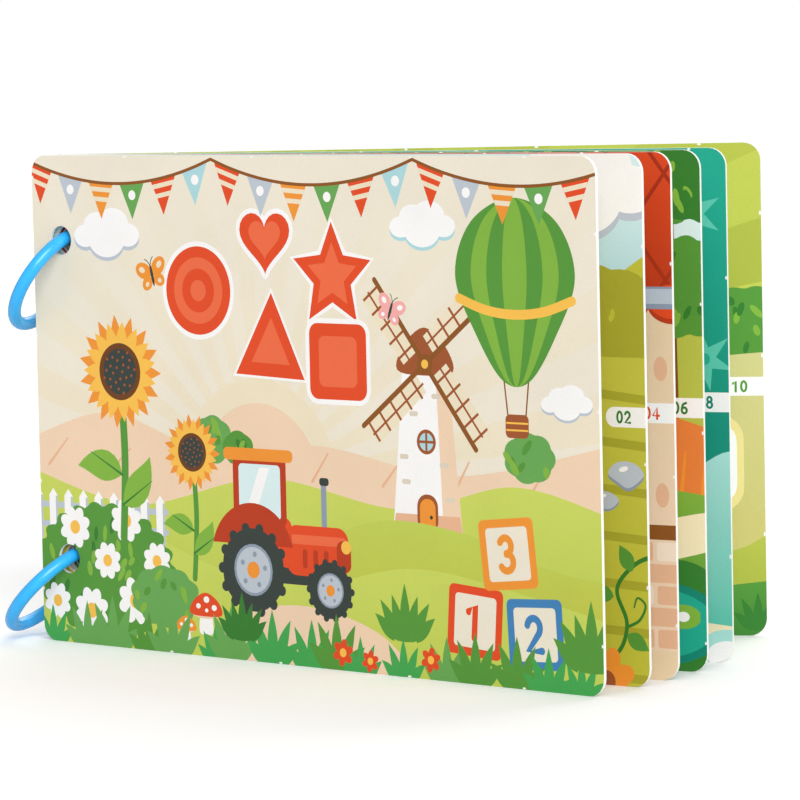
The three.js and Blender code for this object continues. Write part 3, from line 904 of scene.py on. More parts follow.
# Page 10: a meadow with six places for matching shapes
def drawPage10():
    art = ground(fade("moss", "deepMoss", 142j, 74j)) + sunburst(60 + 74j, 200, 13, "paleMoss", 4, 172)
    art += foliage(206 + 90j, 17, 11, 71, 12) + foliage(20 + 84j, 26, 13, 72)
    art += foliage(104 + 84j, 20, 9, 73, 12, "tuft")
    art += [(below([-2 + 80j, 60 + 84j, 140 + 78j, 212 + 82j]), fade("paleHay", "hay", 82j, 30j)),
            (below([-2 + 30j, 50 + 22j, 120 + 34j, 190 + 24j, 212 + 30j]), fade("moss", "deepMoss", 34j, 0j)),
            (below([-2 + 12j, 60 + 18j, 130 + 9j, 212 + 16j]), fade("leafGreen", "deepLeaf", 16j, -4j))]
    shapes = [(ellipse(0, 9.5), "red"), (star(-0.8j, 11, 5.2), "orange"),
              (panel(-8.5, -8.5, 8.5, 8.5, 1.6), "blue"), (np.array([-10 - 8j, 10 - 8j, 9.5j]), "meadow"),
              (heart(0, 20), "warmRed"), (ellipse(0, 11, 7.5), "teal")]
    for i, (outline, ink) in enumerate(shapes):
        x, y = 44 + (i % 3) * 42, 58 - (i // 3) * 36
        at = x + y * 1j
        art += [(panel(x - 17, y - 15.5, x + 17, y + 15.5, 5), "shadow"),
                (panel(x - 16, y - 14.5, x + 16, y + 14.5, 4.4), "paper"),
                (at + outline, ink), (at + outline * 0.72, "cream")]
    art += [(panel(170, 36, 204, 64, 7), "straw"), (panel(172, 38, 202, 62, 6), "paper")]
    art += number("3", 187 + 50j, 15, "orange") + hotAirBalloon(150 + 118j, 14, "red", "cream")
    art += cloud(60 + 122j, 12) + cloud(186 + 122j, 9) + butterfly(110 + 108j, 7, "blue", "ice", 8)
    for x in range(8, 208, 26):
        art += flower(x + 9j, 4.4, "paper" if x % 4 else "pink", "honey")
    return art + tuftRow(23, 210, 0, 10, 17, ["deepLeaf", "leafGreen"]) + numberTab("10", "leafGreen")


# The left pages, whose spine is on their right. Page 01: small marks round a plate with a train
def drawCoverBack():
    art = ground("butter") + [(panel(7, 7, 203, 135, 9), "cream")]
    marks = motifs("tan", "cream") + motifs("mist", "cream") + motifs("clay", "cream")
    for row in range(8):
        for i in range(12):
            at = 17 + i * 16 + (row % 2) * 8 + (15 + row * 16) * 1j
            if at.real < 196:
                art += moved(marks[(i * 5 + row * 7) % len(marks)], at, 4.2, (i * 37 + row * 20) % 40 - 20)
    art += [(panel(50, 44, 160, 98, 12), "red"), (panel(53, 47, 157, 95, 10), "paper")]
    for ink, x, mark in (("red", 69, 0), ("orange", 95, 4), ("meadow", 121, 3), ("blue", 143, 1)):
        art += moved(motifs(ink, "paper")[mark], x + 78j, 8)
    return art + toyTrain(98 + 52j, 15) + numberTab("01", "red")


# Page 03: counting from one to six
def drawPage03():
    art = ground(fade("sky", "paleSky", 142j, 0j)) + cloud(30 + 128j, 9) + cloud(180 + 126j, 10)
    for i, ink in enumerate(("red", "orange", "meadow", "blue", "warmRed", "teal")):
        x, y = 24 + (i % 3) * 57, 78 - (i // 3) * 60
        art += [(panel(x - 1, y - 1.2, x + 49, y + 50, 7), "slate"),
                (panel(x, y, x + 48, y + 49, 6), "paper")]
        art += number(str(i + 1), x + 9 + (y + 39) * 1j, 11, ink)
        for k in range(i + 1):
            spot = x + 13 + (k % 3) * 11.5 + (y + 21 - (k // 3) * 12) * 1j
            art += moved(motifs(ink, "butter")[(i * 2 + 1) % 6], spot, 4.4)
    return art + numberTab("03", "deepLeaf")


# Page 05: a rainbow between two clouds
def drawPage05():
    art = ground("clay")
    for row in range(12):
        art.append((panel(-1, row * 24 - 1, 211, row * 24 + 11), "peach"))
    middle = 105 + 14j
    bands = ["red", "orange", "honey", "meadow", "blue"]
    for i, ink in enumerate(bands):
        art.append((ellipse(middle, 92 - i * 10, 92 - i * 10, 0, 0, 180), ink))
    art += [(ellipse(middle, 42, 42, 0, 0, 180), "clay")]
    art += sunburst(middle, 40, 9, "butter", 4, 172) + [(ellipse(middle, 22, 22, 0, 0, 180), "honey")]
    art += cloud(22 + 22j, 17) + cloud(184 + 22j, 17) + [(panel(-1, -1, 211, 14), "tuft")]
    for i in range(8):
        art += moved(motifs(bands[i % 5], "paper")[i % 6], 16 + i * 25.5 + (122 + (i % 2) * 8) * 1j, 5)
    return art + tuftRow(31, 210, 6, 11, 18, ["leafGreen", "meadow"]) + numberTab("05", "red")


# Page 07: two roads with cars
def drawPage07():
    art = ground(fade("paleSky", "ice", 142j, 60j)) + cloud(60 + 124j, 12) + cloud(150 + 118j, 14)
    art += [(below([-2 + 82j, 60 + 92j, 120 + 80j, 212 + 92j]), "freshLeaf"),
            (panel(-1, -1, 211, 70), "tuft")]
    for y in (8, 42):
        art += [(panel(-1, y, 211, y + 24), "slate"), (panel(-1, y + 2, 211, y + 22), "road")]
        art += [(panel(x, y + 11.2, x + 12, y + 12.8), "paper") for x in range(4, 210, 24)]
    for at, ink, mirror in ((40 + 52j, "red", False), (100 + 52j, "honey", True), (164 + 52j, "blue", False),
                            (60 + 16j, "meadow", True), (150 + 16j, "orange", False)):
        car = [(panel(-1, 0.1, 1, 0.62, 0.2), ink),
               (smooth([-0.7 + 0.55j, -0.5 + 1.08j, 0.4 + 1.08j, 0.7 + 0.55j]), ink),
               (panel(-0.46, 0.6, -0.04, 0.95, 0.1), "paleSky"),
               (panel(0.05, 0.6, 0.46, 0.95, 0.1), "paleSky"),
               (panel(0.84, 0.3, 1.02, 0.46, 0.07), "butter")]
        for axle in (-0.55, 0.55):
            car += [(ellipse(axle + 0.12j, 0.26), "night"), (ellipse(axle + 0.12j, 0.13), "mist")]
        art += moved(car, at, 12.5, 0, mirror)
    art += foliage(24 + 98j, 14, 13, 81) + foliage(190 + 98j, 12, 12, 82, 10, "tuft")
    return art + tuftRow(37, 210, 34, 6, 20, ["leafGreen"], 4) + numberTab("07", "deepLeaf")


# Page 09: six round windows on the weather
def drawPage09():
    art = ground(fade("paleTeal", "ice", 142j, 0j))
    for i in range(6):
        x, y = 21 + (i % 3) * 59, 76 - (i // 3) * 62
        art += [(panel(x - 1, y - 1.2, x + 51, y + 52, 25), "teal"),
                (panel(x, y, x + 50, y + 51, 24.6), "paper")]
        mid = x + 25 + (y + 25.5) * 1j
        if i == 0:
            for a in range(0, 360, 36):
                ray = [mid + reach * np.exp(1j * math.radians(a + lean))
                       for reach, lean in ((9, -9), (19, 0), (9, 9))]
                art.append((np.array(ray), "orange"))
            art.append((ellipse(mid, 10.5), "honey"))
        elif i == 1:
            art += cloud(mid, 11, "mist", "slate")
        elif i == 2:
            art += cloud(mid + 4j, 10, "sky", "slate")
            art += [(blade(mid + x - 14j, 8, 3.4, 12), "blue") for x in (-9, -3, 3, 9)]
        elif i == 3:
            for a in range(0, 360, 60):
                tip = 16 * np.exp(1j * math.radians(a + 30))
                barb = [mid + tip * 0.62 + tip * 0.3j, mid + tip * 0.45, mid + tip * 0.62 - tip * 0.3j]
                art += [(stroke([mid, mid + tip], 2.2), "blue"), (stroke(barb, 1.7, curved=False), "blue")]
        elif i == 4:
            handle = [mid + 1j, mid - 12j, mid + 2.4 - 15j, mid + 5 - 12j]
            art += [(ellipse(mid + 1j, 17, 15, 0, 0, 180), "red"),
                    (ellipse(mid + 1j, 8, 15, 0, 0, 180), "honey"), (stroke(handle, 1.8), "bark")]
        else:
            art += moved([(ellipse(0, 1), "honey"), (ellipse(0.42 + 0.2j, 0.85), "paper")], mid, 14)
            art.append((star(mid + 8 + 5j, 4, 1.8), "orange"))
    return art + numberTab("09", "deepTeal")


# The back page: a train under a rainbow, with kites and hay bales
def drawBackCover():
    art = ground(fade("sky", "cream", 142j, 60j))
    for i, ink in enumerate(("red", "orange", "honey", "meadow", "blue")):
        art.append((ellipse(118 + 46j, 74 - i * 5.4), ink))
    art += [(ellipse(118 + 46j, 47), "paleSky")] + cloud(44 + 62j, 14) + cloud(190 + 66j, 13)
    art += cloud(120 + 82j, 9) + cloud(30 + 120j, 11)
    art += [(below([-2 + 56j, 50 + 66j, 104 + 52j, 160 + 62j, 212 + 54j]), "clay"),
            (below([-2 + 46j, 60 + 38j, 130 + 52j, 212 + 42j]), fade("lime", "grass", 52j, 10j))]
    art += foliage(18 + 50j, 13, 13, 91) + foliage(34 + 44j, 9, 8, 92, 8, "tuft")
    art += foliage(196 + 48j, 14, 12, 93)
    art += [(below([-2 + 24j, 70 + 32j, 140 + 24j, 212 + 30j]), fade("grass", "field", 32j, 0j)),
            (panel(-1, 15, 211, 17, 0.4), "slate")]
    art += [(panel(x, 12, x + 4, 16), "bark") for x in range(2, 210, 9)] + toyTrain(128 + 17j, 30, 3)
    for at, r in ((176 + 34j, 9), (194 + 33j, 7.5)):
        art += [(ellipse(at, r), "straw")]
        for k in (0.76, 0.5, 0.26):
            art += [(ellipse(at, r * k), "honey"), (ellipse(at, r * k - 0.8), "straw")]
    for at, ink, second, turn in ((62 + 112j, "red", "warmRed", 16), (92 + 124j, "orange", "honey", -12),
                                  (176 + 116j, "blue", "sky", 22)):
        kite = [(np.array([-1, 0.9j, 1, -1.3j]), ink), (np.array([0.9j, 1, -1.3j]), second),
                (stroke([-1.3j, 0.3 - 2j, -0.2 - 2.7j, 0.3 - 3.4j], 0.08), "bark")]
        art += moved(kite, at, 9.5, turn)
    art += fence(-4, 60, 2, 13, 9) + fence(150, 214, 2, 13, 9) + butterfly(142 + 112j, 6, "pink", "paper", 12)
    for x in range(70, 146, 12):
        art += flower(x + 6j, 4.6, ("red", "paper", "orange")[x % 3], "honey")
    return art + tuftRow(43, 210, 0, 9, 18, ["leafGreen", "tuft", "meadow"])


# Which points lie inside an outline, by its winding
def isInside(outline, points):
    x, y = points.real, points.imag
    a = outline[:, None]
    b = np.roll(outline, -1)[:, None]
    side = (b.real - a.real) * (y - a.imag) - (b.imag - a.imag) * (x - a.real)
    rising = (a.imag <= y) & (b.imag > y) & (side > 0)
    falling = (a.imag > y) & (b.imag <= y) & (side < 0)
    return rising.sum(0) != falling.sum(0)


def isInAny(outlines, points):
    return np.any([isInside(outline, points) for outline in outlines], axis=0)


# Triangles along the given edges, over the whole area or only over what the edges enclose
def triangulate(points, edges, enclosed, nearness):
    corners = [Vector((p.real, p.imag)) for p in points]
    made = delaunay_2d_cdt(corners, edges, [], 1 if enclosed else 0, nearness, False)
    return np.array([complex(*p) for p in made[0]]), np.array(made[2])


# Twice the area of each triangle, above zero where its corners run clockwise
def doubleArea(triangles):
    a, b, c = triangles.T
    return ((b - a) * np.conj(c - a)).imag


def holeOutlines(mirrored):
    holes = [ellipse(leaf["holeInset"] + 1j * z, leaf["holeRadius"] + leaf["inset"])
             for z in (leaf["holeRise"], leaf["height"] - leaf["holeRise"])]
    return [leaf["length"] - np.conj(hole) for hole in holes] if mirrored else holes


# Splits one printed face along every outline, and gives each triangle the ink that lies on top there
def splitPrint(drawing, holes):
    low = leaf["inset"]
    edge = panel(low, low, leaf["length"] - low, leaf["height"] - low, leaf["corner"] - low)
    seen = [(outline, ink) for outline, ink in drawing
            if outline.real.max() > 0 and outline.real.min() < leaf["length"]
            and outline.imag.max() > 0 and outline.imag.min() < leaf["height"]]
    points, edges = [], []
    for outline in [edge] + holes + [outline for outline, ink in seen]:
        first, count = len(points), len(outline)
        points += list(outline)
        edges += [(first + i, first + (i + 1) % count) for i in range(count)]
    spots, triangles = triangulate(points, edges, enclosed=False, nearness=1e-5)
    corners = spots[triangles]
    middle = corners.mean(1)
    sliver = 1e-9
    keep = isInside(edge, middle) & ~isInAny(holes, middle) & (np.abs(doubleArea(corners)) > sliver)
    triangles, middle = triangles[keep], middle[keep]
    colours = np.ones((len(triangles), 3, 4))
    for outline, ink in seen:
        near = np.nonzero((middle.real > outline.real.min()) & (middle.real < outline.real.max())
                          & (middle.imag > outline.imag.min()) & (middle.imag < outline.imag.max()))[0]
        hit = near[isInside(outline, middle[near])]
        if isinstance(ink, str):
            colours[hit, :, :3] = linear(inks[ink])
        else:
            first, second, start, end = ink
            along = ((spots[triangles[hit]] - start) * np.conj(end - start)).real / abs(end - start) ** 2
            along = np.clip(along, 0, 1)[:, :, None]
            first, second = (np.array(linear(inks[name])) for name in (first, second))
            colours[hit, :, :3] = first * (1 - along) + second * along
    return spots, triangles, colours


# Where a leaf stands before its turn: its spine edge's distance from the binding axis, and its offset from it
def leafPlace(name):
    index = leafNames.index(name)
    offset = (index - (len(leafNames) - 1) / 2) * leaf["pitch"]
    slip = leaf["backSlip"] if index == len(leafNames) - 1 else 0
    spine = math.sqrt(leaf["ringRadius"] ** 2 - offset ** 2) - leaf["holeInset"] - slip
    return spine, offset


# A printed sheet with its thickness: the drawing outside, plain paper on its rim and its glued side
def makeSheet(name, side, drawing):
    mirrored = side == "back"
    holes = holeOutlines(mirrored)
    spots, triangles, colours = splitPrint(drawing, holes)
    used, renumbered = np.unique(triangles, return_inverse=True)
    spots, triangles = spots[used], renumbered.reshape(-1, 3)
    wrong = doubleArea(spots[triangles]) > 0
    triangles[wrong], colours[wrong] = triangles[wrong][:, ::-1], colours[wrong][:, ::-1]

    # The glued side has only the rim's corners
    steps = {(t[i], t[(i + 1) % 3]) for t in triangles.tolist() for i in range(3)}
    rim = [(p, q) for p, q in steps if (q, p) not in steps]
    rimSpots = sorted({p for step in rim for p in step})
    place = {p: i for i, p in enumerate(rimSpots)}
    rimEdges = [(place[p], place[q]) for p, q in rim]
    backSpots, backFaces = triangulate(spots[rimSpots], rimEdges, enclosed=True, nearness=1e-7)
    backFaces = backFaces[~isInAny(holes, backSpots[backFaces].mean(1))]

    spine, offset = leafPlace(name)
    turn = np.exp(1j * math.radians(leaf["turns"][name]))

    def stand(points, depth):
        across = leaf["length"] - points.real if mirrored else points.real
        out = leaf["thickness"] / 2 - depth
        flat = (spine + across + 1j * (offset + (out if mirrored else -out))) * turn
        return np.stack([flat.real * mm + bindingAxis.x, flat.imag * mm + bindingAxis.y, points.imag * mm], 1)

    count = len(spots)
    verts = np.concatenate([stand(spots, 0), stand(backSpots, leaf["print"])])
    under = {p: count + int(np.argmin(np.abs(backSpots - spots[p]))) for p in rimSpots}
    faces = triangles.tolist() + [[p, under[p], under[q], q] for p, q in rim]
    clockwise = doubleArea(backSpots[backFaces]) > 0
    faces += [face[::1 if right else -1] for face, right in zip((backFaces + count).tolist(), clockwise)]
    mesh = bpy.data.meshes.new(f"{name}_{side}_sheet")
    mesh.from_pydata(verts.tolist(), [], faces)
    ink = mesh.color_attributes.new("ink", "FLOAT_COLOR", "CORNER")
    values = np.ones((len(mesh.loops), 4))
    values[:, :3] = linear(inks["paper"])
    values[:3 * len(triangles)] = colours.reshape(-1, 4)
    ink.data.foreach_set("color", values.ravel())
    mesh.materials.append(laminatedPrint)
    sheet = newObject(f"{name}_{side}_sheet", mesh)
    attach(sheet, name)
    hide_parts(f"{name}_{side}_print")
    return sheet


drawings = {
    "cover": (drawCover, drawCoverBack),
    "leaf_02": (drawPage02, drawPage03),
    "leaf_04": (drawPage04, drawPage05),
    "leaf_06": (drawPage06, drawPage07),
    "leaf_08": (drawPage08, drawPage09),
    "leaf_10": (drawPage10, drawBackCover),
}
for name, sides in drawings.items():
    for side, draw in zip(("front", "back"), sides):
        sheet = makeSheet(name, side, draw())
        print("scene:", sheet.name, len(sheet.data.polygons), "faces")

# The boards stay as they are cut, with the edge showing white
for name in leafNames:
    core = frame["nodes"][f"{name}_core"]
    core.data.materials.clear()
    core.data.materials.append(diecutBoard)


# Where the cutting die's bridges tore off: small white nicks round a leaf's edge, just through its print.
# Their middles lie on a line just inside the edge. Lengths in millimetres.
nick = {
    "Width": leaf["length"] - 0.7,
    "Height": leaf["height"] - 0.7,
    "Corner": leaf["corner"] - 0.35,
    "Corner steps": 8,
    "Count": 15,
    "Stray": 0.3,
    "Smallest": 0.75,
    "Largest": 1.15,
    "Nick length": 0.6,
    "Nick depth": 0.27,
    "Nick thickness": leaf["thickness"] / 2 + 0.005,
    "Nick sides": 20,
    "Seed": 11,
}


def makeNickTree():
    tree, given = newTree("dieNicks", nick)
    outline = addNode(tree, "GeometryNodeCurvePrimitiveQuadrilateral",
                      {"Width": (given, "Width"), "Height": (given, "Height")})
    rounded = addNode(tree, "GeometryNodeFilletCurve",
                      {"Curve": (outline, "Curve"), "Radius": (given, "Corner"),
                       "Count": (given, "Corner steps")}, mode="POLY")
    spots = addNode(tree, "GeometryNodePoints", {"Count": (given, "Count")})
    order = addNode(tree, "GeometryNodeInputIndex")
    low = addNode(tree, "ShaderNodeMath", {0: 0.5, 1: (given, "Stray")}, operation="SUBTRACT")
    high = addNode(tree, "ShaderNodeMath", {0: 0.5, 1: (given, "Stray")}, operation="ADD")
    stray = addNode(tree, "FunctionNodeRandomValue", {2: (low, 0), 3: (high, 0), "Seed": (given, "Seed")})
    along = addNode(tree, "ShaderNodeMath", {0: (order, 0), 1: (stray, 1)}, operation="ADD")
    share = addNode(tree, "ShaderNodeMath", {0: (along, 0), 1: (given, "Count")}, operation="DIVIDE")
    edge = addNode(tree, "GeometryNodeSampleCurve", {"Curves": (rounded, "Curve"), "Factor": (share, 0)},
                   mode="FACTOR", use_all_curves=True)
    placed = addNode(tree, "GeometryNodeSetPosition",
                     {"Geometry": (spots, 0), "Position": (edge, "Position")})
    turned = addNode(tree, "FunctionNodeAlignRotationToVector",
                     {"Vector": (edge, "Tangent")}, axis="X", pivot_axis="Z")
    size = addNode(tree, "FunctionNodeRandomValue",
                   {2: (given, "Smallest"), 3: (given, "Largest"), "Seed": (given, "Seed")})
    length = addNode(tree, "ShaderNodeMath", {0: (size, 1), 1: (given, "Nick length")}, operation="MULTIPLY")
    scale = addNode(tree, "ShaderNodeCombineXYZ",
                    {"X": (length, 0), "Y": (given, "Nick depth"), "Z": (given, "Nick thickness")})
    bead = addNode(tree, "GeometryNodeMeshCylinder",
                   {"Vertices": (given, "Nick sides"), "Radius": 1.0, "Depth": 2.0})
    many = addNode(tree, "GeometryNodeInstanceOnPoints",
                   {"Points": (placed, 0), "Instance": (bead, "Mesh"), "Rotation": (turned, 0),
                    "Scale": (scale, 0)})
    real = addNode(tree, "GeometryNodeRealizeInstances", {"Geometry": (many, 0)})
    done = addNode(tree, "GeometryNodeSetMaterial", {"Geometry": (real, 0), "Material": diecutBoard})
    addNode(tree, "NodeGroupOutput", {"Geometry": (done, 0)})
    return tree


def makeNicks():
    tree = makeNickTree()
    for index, name in enumerate(leafNames):
        spine, offset = leafPlace(name)
        mesh = runTree(tree, {"Seed": nick["Seed"] + index})
        middle = Vector((spine + leaf["length"] / 2, offset, leaf["height"] / 2))
        place = Matrix.Translation((bindingAxis.x, bindingAxis.y, 0))
        place = place @ Matrix.Rotation(math.radians(leaf["turns"][name]), 4, "Z") @ Matrix.Scale(mm, 4)
        place = place @ Matrix.Translation(middle) @ Matrix.Rotation(math.pi / 2, 4, "X")
        mesh.transform(place)
        nicks = newObject(f"{name}_nicks", mesh)
        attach(nicks, name)
    print("scene: die nicks made")


makeNicks()

# The rings in millimetres, and degrees round from the middle of the stack towards the front
ring = {
    "radius": leaf["ringRadius"],
    "tube": 1.92,
    "sides": 36,
    "step": 2,
    "hinge": 240,
    "knuckle": 2.55,
    "knuckleWidth": 4.36,
    "boreWidth": 6.36,  # wider than the knuckle, so that the bores go right through
    "tongue": 1.3,
    "tongueRoot": 14,  # degrees of the gate's tube that the tongue runs into
    "tongueSlim": 0.02,
    "tongueBox": {"reach": 6, "behind": 20, "ahead": 16},  # millimetres, and degrees from the hinge
    "play": 0.3,
    "pin": 0.6,
    "pinWidth": 4.4,
    "pinFit": 0.05,
    "pinPlay": 0.2,
    "lapStart": 310,
    "lapEnd": 322,
    "lapPlay": 0.15,
    "lapGap": 1,
    "snap": 0.35,
    "snapPlay": 0.2,
    "cutter": 4,  # how far a cutting shape passes the tube, in millimetres and in degrees
    "edge": 0.12,
    "edgeSteps": 2,
    "bevelAngle": 40,
    "sharpAngle": 38,
    "rodSides": 48,
    "snapSides": 24,
    "pinSides": 32,
}
snapAngle = (ring["lapStart"] + ring["lapEnd"]) / 2


# Sweeps a round tube along an arc, with closed ends
def makeTubeTree():
    tree, given = newTree("ringTube", {"Ring radius": float(ring["radius"]), "Tube radius": ring["tube"],
                                       "From": 0.0, "Sweep": 1.0, "Steps": 90, "Sides": ring["sides"]})
    path = addNode(tree, "GeometryNodeCurveArc",
                   {"Resolution": (given, "Steps"), "Radius": (given, "Ring radius"),
                    "Start Angle": (given, "From"), "Sweep Angle": (given, "Sweep")}, mode="RADIUS")
    section = addNode(tree, "GeometryNodeCurvePrimitiveCircle",
                      {"Resolution": (given, "Sides"), "Radius": (given, "Tube radius")}, mode="RADIUS")
    swept = addNode(tree, "GeometryNodeCurveToMesh",
                    {"Curve": (path, 0), "Profile Curve": (section, 0), "Fill Caps": True})
    real = addNode(tree, "GeometryNodeRealizeInstances", {"Geometry": (swept, 0)})
    done = addNode(tree, "GeometryNodeSetMaterial", {"Geometry": (real, 0), "Material": mouldedRing})
    addNode(tree, "NodeGroupOutput", {"Geometry": (done, 0)})
    return tree


tubeTree = makeTubeTree()


def sweepTube(start, end, slim=0):
    steps = max(3, round((end - start) / ring["step"]) + 1)
    return runTree(tubeTree, {"Tube radius": ring["tube"] - slim, "From": math.radians(start),
                              "Sweep": math.radians(end - start), "Steps": steps})


# A straight block over an outline in the ring's plane, as thick on one side of the plane as on the other
def prism(outline, half):
    count = len(outline)
    verts = [(x, y, z) for z in (-half, half) for x, y in outline]
    faces = [(i, (i + 1) % count, count + (i + 1) % count, count + i) for i in range(count)]
    faces += [tuple(range(count))[::-1], tuple(range(count, 2 * count))]
    mesh = bpy.data.meshes.new("prism")
    mesh.from_pydata(verts, [], faces)
    return mesh


# A round rod through the tube at an angle of the ring, square to the ring's plane
def rod(angle, radius, width, sides=ring["rodSides"]):
    turn = math.radians(angle)
    middle = Vector((ring["radius"] * math.cos(turn), ring["radius"] * math.sin(turn)))
    turns = [2 * math.pi * i / sides for i in range(sides)]
    return prism([middle + Vector((math.cos(t) * radius, math.sin(t) * radius)) for t in turns], width / 2)


# A flat sector of the ring's plane between two radii
def sector(inner, outer, start, end, half=ring["cutter"]):
    steps = 16
    turns = [math.radians(start + (end - start) * i / steps) for i in range(steps + 1)]
    arc = [(outer * math.cos(t), outer * math.sin(t)) for t in turns]
    arc += [(inner * math.cos(t), inner * math.sin(t)) for t in reversed(turns)]
    return prism(arc, half)


# Joins, cuts or keeps a mesh with others in turn, and returns the plain result
def carve(mesh, *steps):
    body = newObject("body", mesh)
    tools = []
    for operation, shape in steps:
        tool = newObject("tool", shape)
        modifier = body.modifiers.new("carve", "BOOLEAN")
        modifier.operation = operation
        modifier.solver = "MANIFOLD"
        modifier.object = tool
        tools.append(tool)
    result = plainMesh(body)
    for item in [body] + tools:
        bpy.data.objects.remove(item)
    return result


# The fixed part: from the lap through the holes to the hinge's two lugs, with a snap bead on the lap
def makeFixedArc():
    hinge = ring["hinge"]
    slot = ring["tongue"] + 2 * ring["play"]
    cut = sector(ring["radius"] - ring["lapPlay"], ring["radius"] + ring["cutter"],
                 ring["lapStart"] - ring["cutter"], ring["lapEnd"])
    return carve(sweepTube(ring["lapStart"] - 360, hinge),
                 ("UNION", rod(hinge, ring["knuckle"], ring["knuckleWidth"])),
                 ("DIFFERENCE", rod(hinge, ring["knuckle"] + ring["play"], slot)),
                 ("DIFFERENCE", rod(hinge, ring["pin"] + ring["pinFit"], ring["boreWidth"])),
                 ("DIFFERENCE", cut),
                 ("UNION", rod(snapAngle, ring["snap"], ring["tube"], ring["snapSides"])))


# The gate: a tongue between the lugs, and the outer half of the lap with a groove for the bead
def makeGate():
    hinge = ring["hinge"]
    last = ring["lapEnd"] - ring["lapGap"]
    groove = rod(snapAngle, ring["snap"] + ring["snapPlay"], ring["boreWidth"], ring["snapSides"])
    cut = sector(ring["radius"] - ring["cutter"], ring["radius"] + ring["lapPlay"],
                 ring["lapStart"] - ring["lapGap"], last + ring["cutter"])
    box = ring["tongueBox"]
    slab = sector(ring["radius"] - box["reach"], ring["radius"] + box["reach"], hinge - box["behind"],
                  hinge + box["ahead"], ring["tongue"] / 2)
    tongue = carve(sweepTube(hinge, hinge + ring["tongueRoot"], ring["tongueSlim"]),
                   ("UNION", rod(hinge, ring["knuckle"], ring["knuckleWidth"])), ("INTERSECT", slab))
    return carve(sweepTube(hinge, last),
                 ("DIFFERENCE", rod(hinge, ring["knuckle"] + ring["play"], ring["boreWidth"])),
                 ("DIFFERENCE", cut),
                 ("DIFFERENCE", groove),
                 ("UNION", tongue),
                 ("DIFFERENCE", rod(hinge, ring["pin"] + ring["pinPlay"], ring["boreWidth"])))


# Softens the cut edges, sets the piece in its ring's place and lets it ride
def finishRingPiece(name, mesh, side, body, nodes):
    swing = joints[f"{side}_ring_swing"]
    normal = -Vector(joints[f"{side}_gate_open"]["axis"]).normalized()
    front = -Vector(swing["axis"]).normalized()
    inward = front.cross(normal)
    place = Matrix((inward, front, normal)).transposed().to_4x4()
    place.translation = Vector(swing["pos_m"]) - inward * ring["radius"] * mm
    rounder = newObject(name, mesh)
    bevel = rounder.modifiers.new("edge", "BEVEL")
    bevel.width = ring["edge"]
    bevel.segments = ring["edgeSteps"]
    bevel.limit_method = "ANGLE"
    bevel.angle_limit = math.radians(ring["bevelAngle"])
    finished = plainMesh(rounder)
    bpy.data.objects.remove(rounder)
    finished.transform(place @ Matrix.Scale(mm, 4))
    finished.materials.clear()
    finished.materials.append(mouldedRing)
    finished.polygons.foreach_set("use_smooth", [True] * len(finished.polygons))
    finished.set_sharp_from_angle(angle=math.radians(ring["sharpAngle"]))
    piece = newObject(name, finished)
    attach(piece, body)
    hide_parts(*nodes)


for side in ("upper", "lower"):
    finishRingPiece(f"{side}_ring_band", makeFixedArc(), side, f"{side}_ring", [f"{side}_ring_arc"])
    finishRingPiece(f"{side}_ring_latch", makeGate(), side, f"{side}_gate", [f"{side}_ring_gate"])
    rivet = rod(ring["hinge"], ring["pin"], ring["pinWidth"], ring["pinSides"])
    finishRingPiece(f"{side}_ring_rivet", rivet, side, f"{side}_ring", [f"{side}_ring_pin"])
print("scene: rings made")


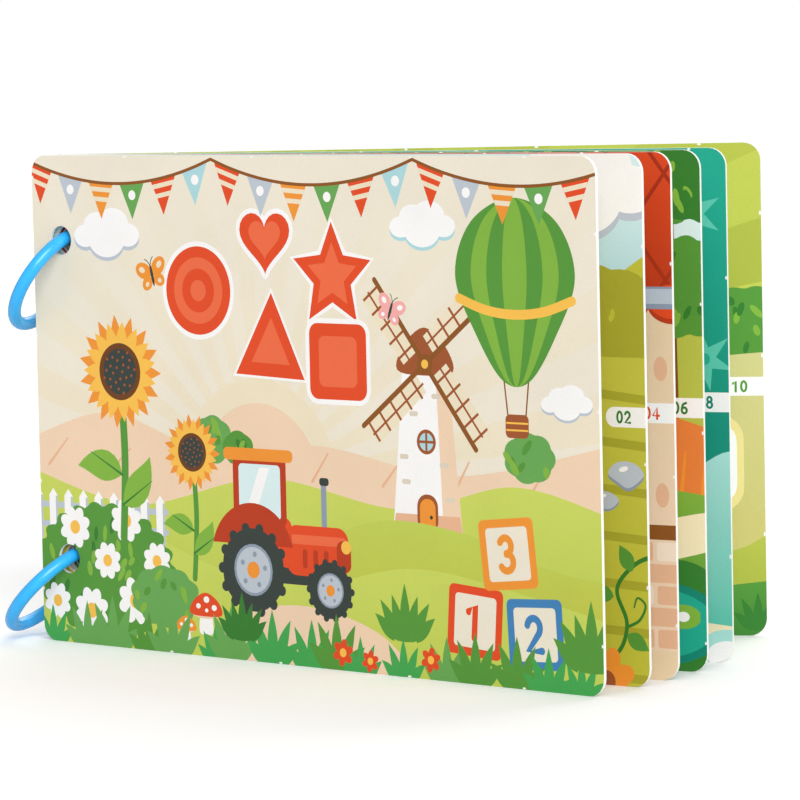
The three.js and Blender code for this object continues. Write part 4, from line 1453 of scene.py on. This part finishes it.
# Floor and light: white studio paper under an even sky and two soft lamps. Only the camera sees the paper
# as white. Lengths in metres and turns in degrees.
def makeStage():
    stage = {"size": 6.0, "paper": 0.8, "seenPaper": 1.1, "sky": 0.46, "shine": 0.55}
    lamps = {"frontLamp": {"power": 2.5, "turn": (66, 0, 22), "soft": 40},
             "backLamp": {"power": 1.3, "turn": (50, 0, 165), "soft": 60}}
    material, tree = newMaterial("studioPaper")
    rays = addNode(tree, "ShaderNodeLightPath")
    tone = addNode(tree, "ShaderNodeMapRange",
                   {"Value": (rays, "Is Camera Ray"), "To Min": stage["paper"], "To Max": stage["seenPaper"]})
    sheet = addNode(tree, "ShaderNodeBsdfDiffuse", {"Color": (tone, 0)})
    addNode(tree, "ShaderNodeOutputMaterial", {"Surface": (sheet, 0)})
    half = stage["size"] / 2
    corners = [(-half, -half, 0), (half, -half, 0), (half, half, 0), (-half, half, 0)]
    mesh = bpy.data.meshes.new("studioFloor")
    mesh.from_pydata(corners, [], [(0, 1, 2, 3)])
    mesh.materials.append(material)
    floor = newObject("studioFloor", mesh)

    world = bpy.data.worlds.new("studioSky")
    world.use_nodes = True
    tree = world.node_tree
    tree.nodes.clear()
    rays = addNode(tree, "ShaderNodeLightPath")
    lit = addNode(tree, "ShaderNodeMapRange",
                  {"Value": (rays, "Is Glossy Ray"), "To Min": stage["sky"], "To Max": stage["shine"]})
    level = addNode(tree, "ShaderNodeMath", {0: (lit, 0), 1: (rays, "Is Camera Ray")}, operation="MAXIMUM")
    sky = addNode(tree, "ShaderNodeBackground", {"Color": (1, 1, 1, 1), "Strength": (level, 0)})
    addNode(tree, "ShaderNodeOutputWorld", {"Surface": (sky, 0)})
    bpy.context.scene.world = world

    for name, given in lamps.items():
        light = bpy.data.lights.new(name, "SUN")
        light.energy = given["power"]
        light.angle = math.radians(given["soft"])
        lamp = newObject(name, light)
        lamp.rotation_euler = [math.radians(a) for a in given["turn"]]


# The camera stands where the photograph was taken from, low and a little to the right of the back leaf's
# middle. Degrees and millimetres, with the clip distances in metres.
def makeCamera():
    shot = {
        "turn": -9.099,
        "rise": 4.647,
        "roll": 1.231,
        "distance": 1216.1,
        "right": 14.19,
        "up": 2.16,
        "aimHeight": 71,
        "focal": 196.32,
        "sensor": 36,
        "clip": (0.05, 20),
    }
    turn, rise, roll = (math.radians(shot[k]) for k in ("turn", "rise", "roll"))
    ahead = Vector((math.sin(turn) * math.cos(rise), math.cos(turn) * math.cos(rise), -math.sin(rise)))
    right = Vector((math.cos(turn), -math.sin(turn), 0))
    up = right.cross(ahead)
    aim = Vector((0, 0, shot["aimHeight"])) + right * shot["right"] + up * shot["up"]
    data = bpy.data.cameras.new("camera")
    data.lens = shot["focal"]
    data.sensor_width = shot["sensor"]
    data.clip_start, data.clip_end = shot["clip"]
    camera = newObject("camera", data)
    rolledRight = right * math.cos(roll) - up * math.sin(roll)
    rolledUp = right * math.sin(roll) + up * math.cos(roll)
    camera.matrix_world = Matrix((rolledRight, rolledUp, -ahead)).transposed().to_4x4()
    camera.location = (aim - ahead * shot["distance"]) * mm
    bpy.context.scene.camera = camera


makeStage()
makeCamera()
bpy.context.scene.view_settings.view_transform = "Standard"
print("scene: stage, lights and camera made")
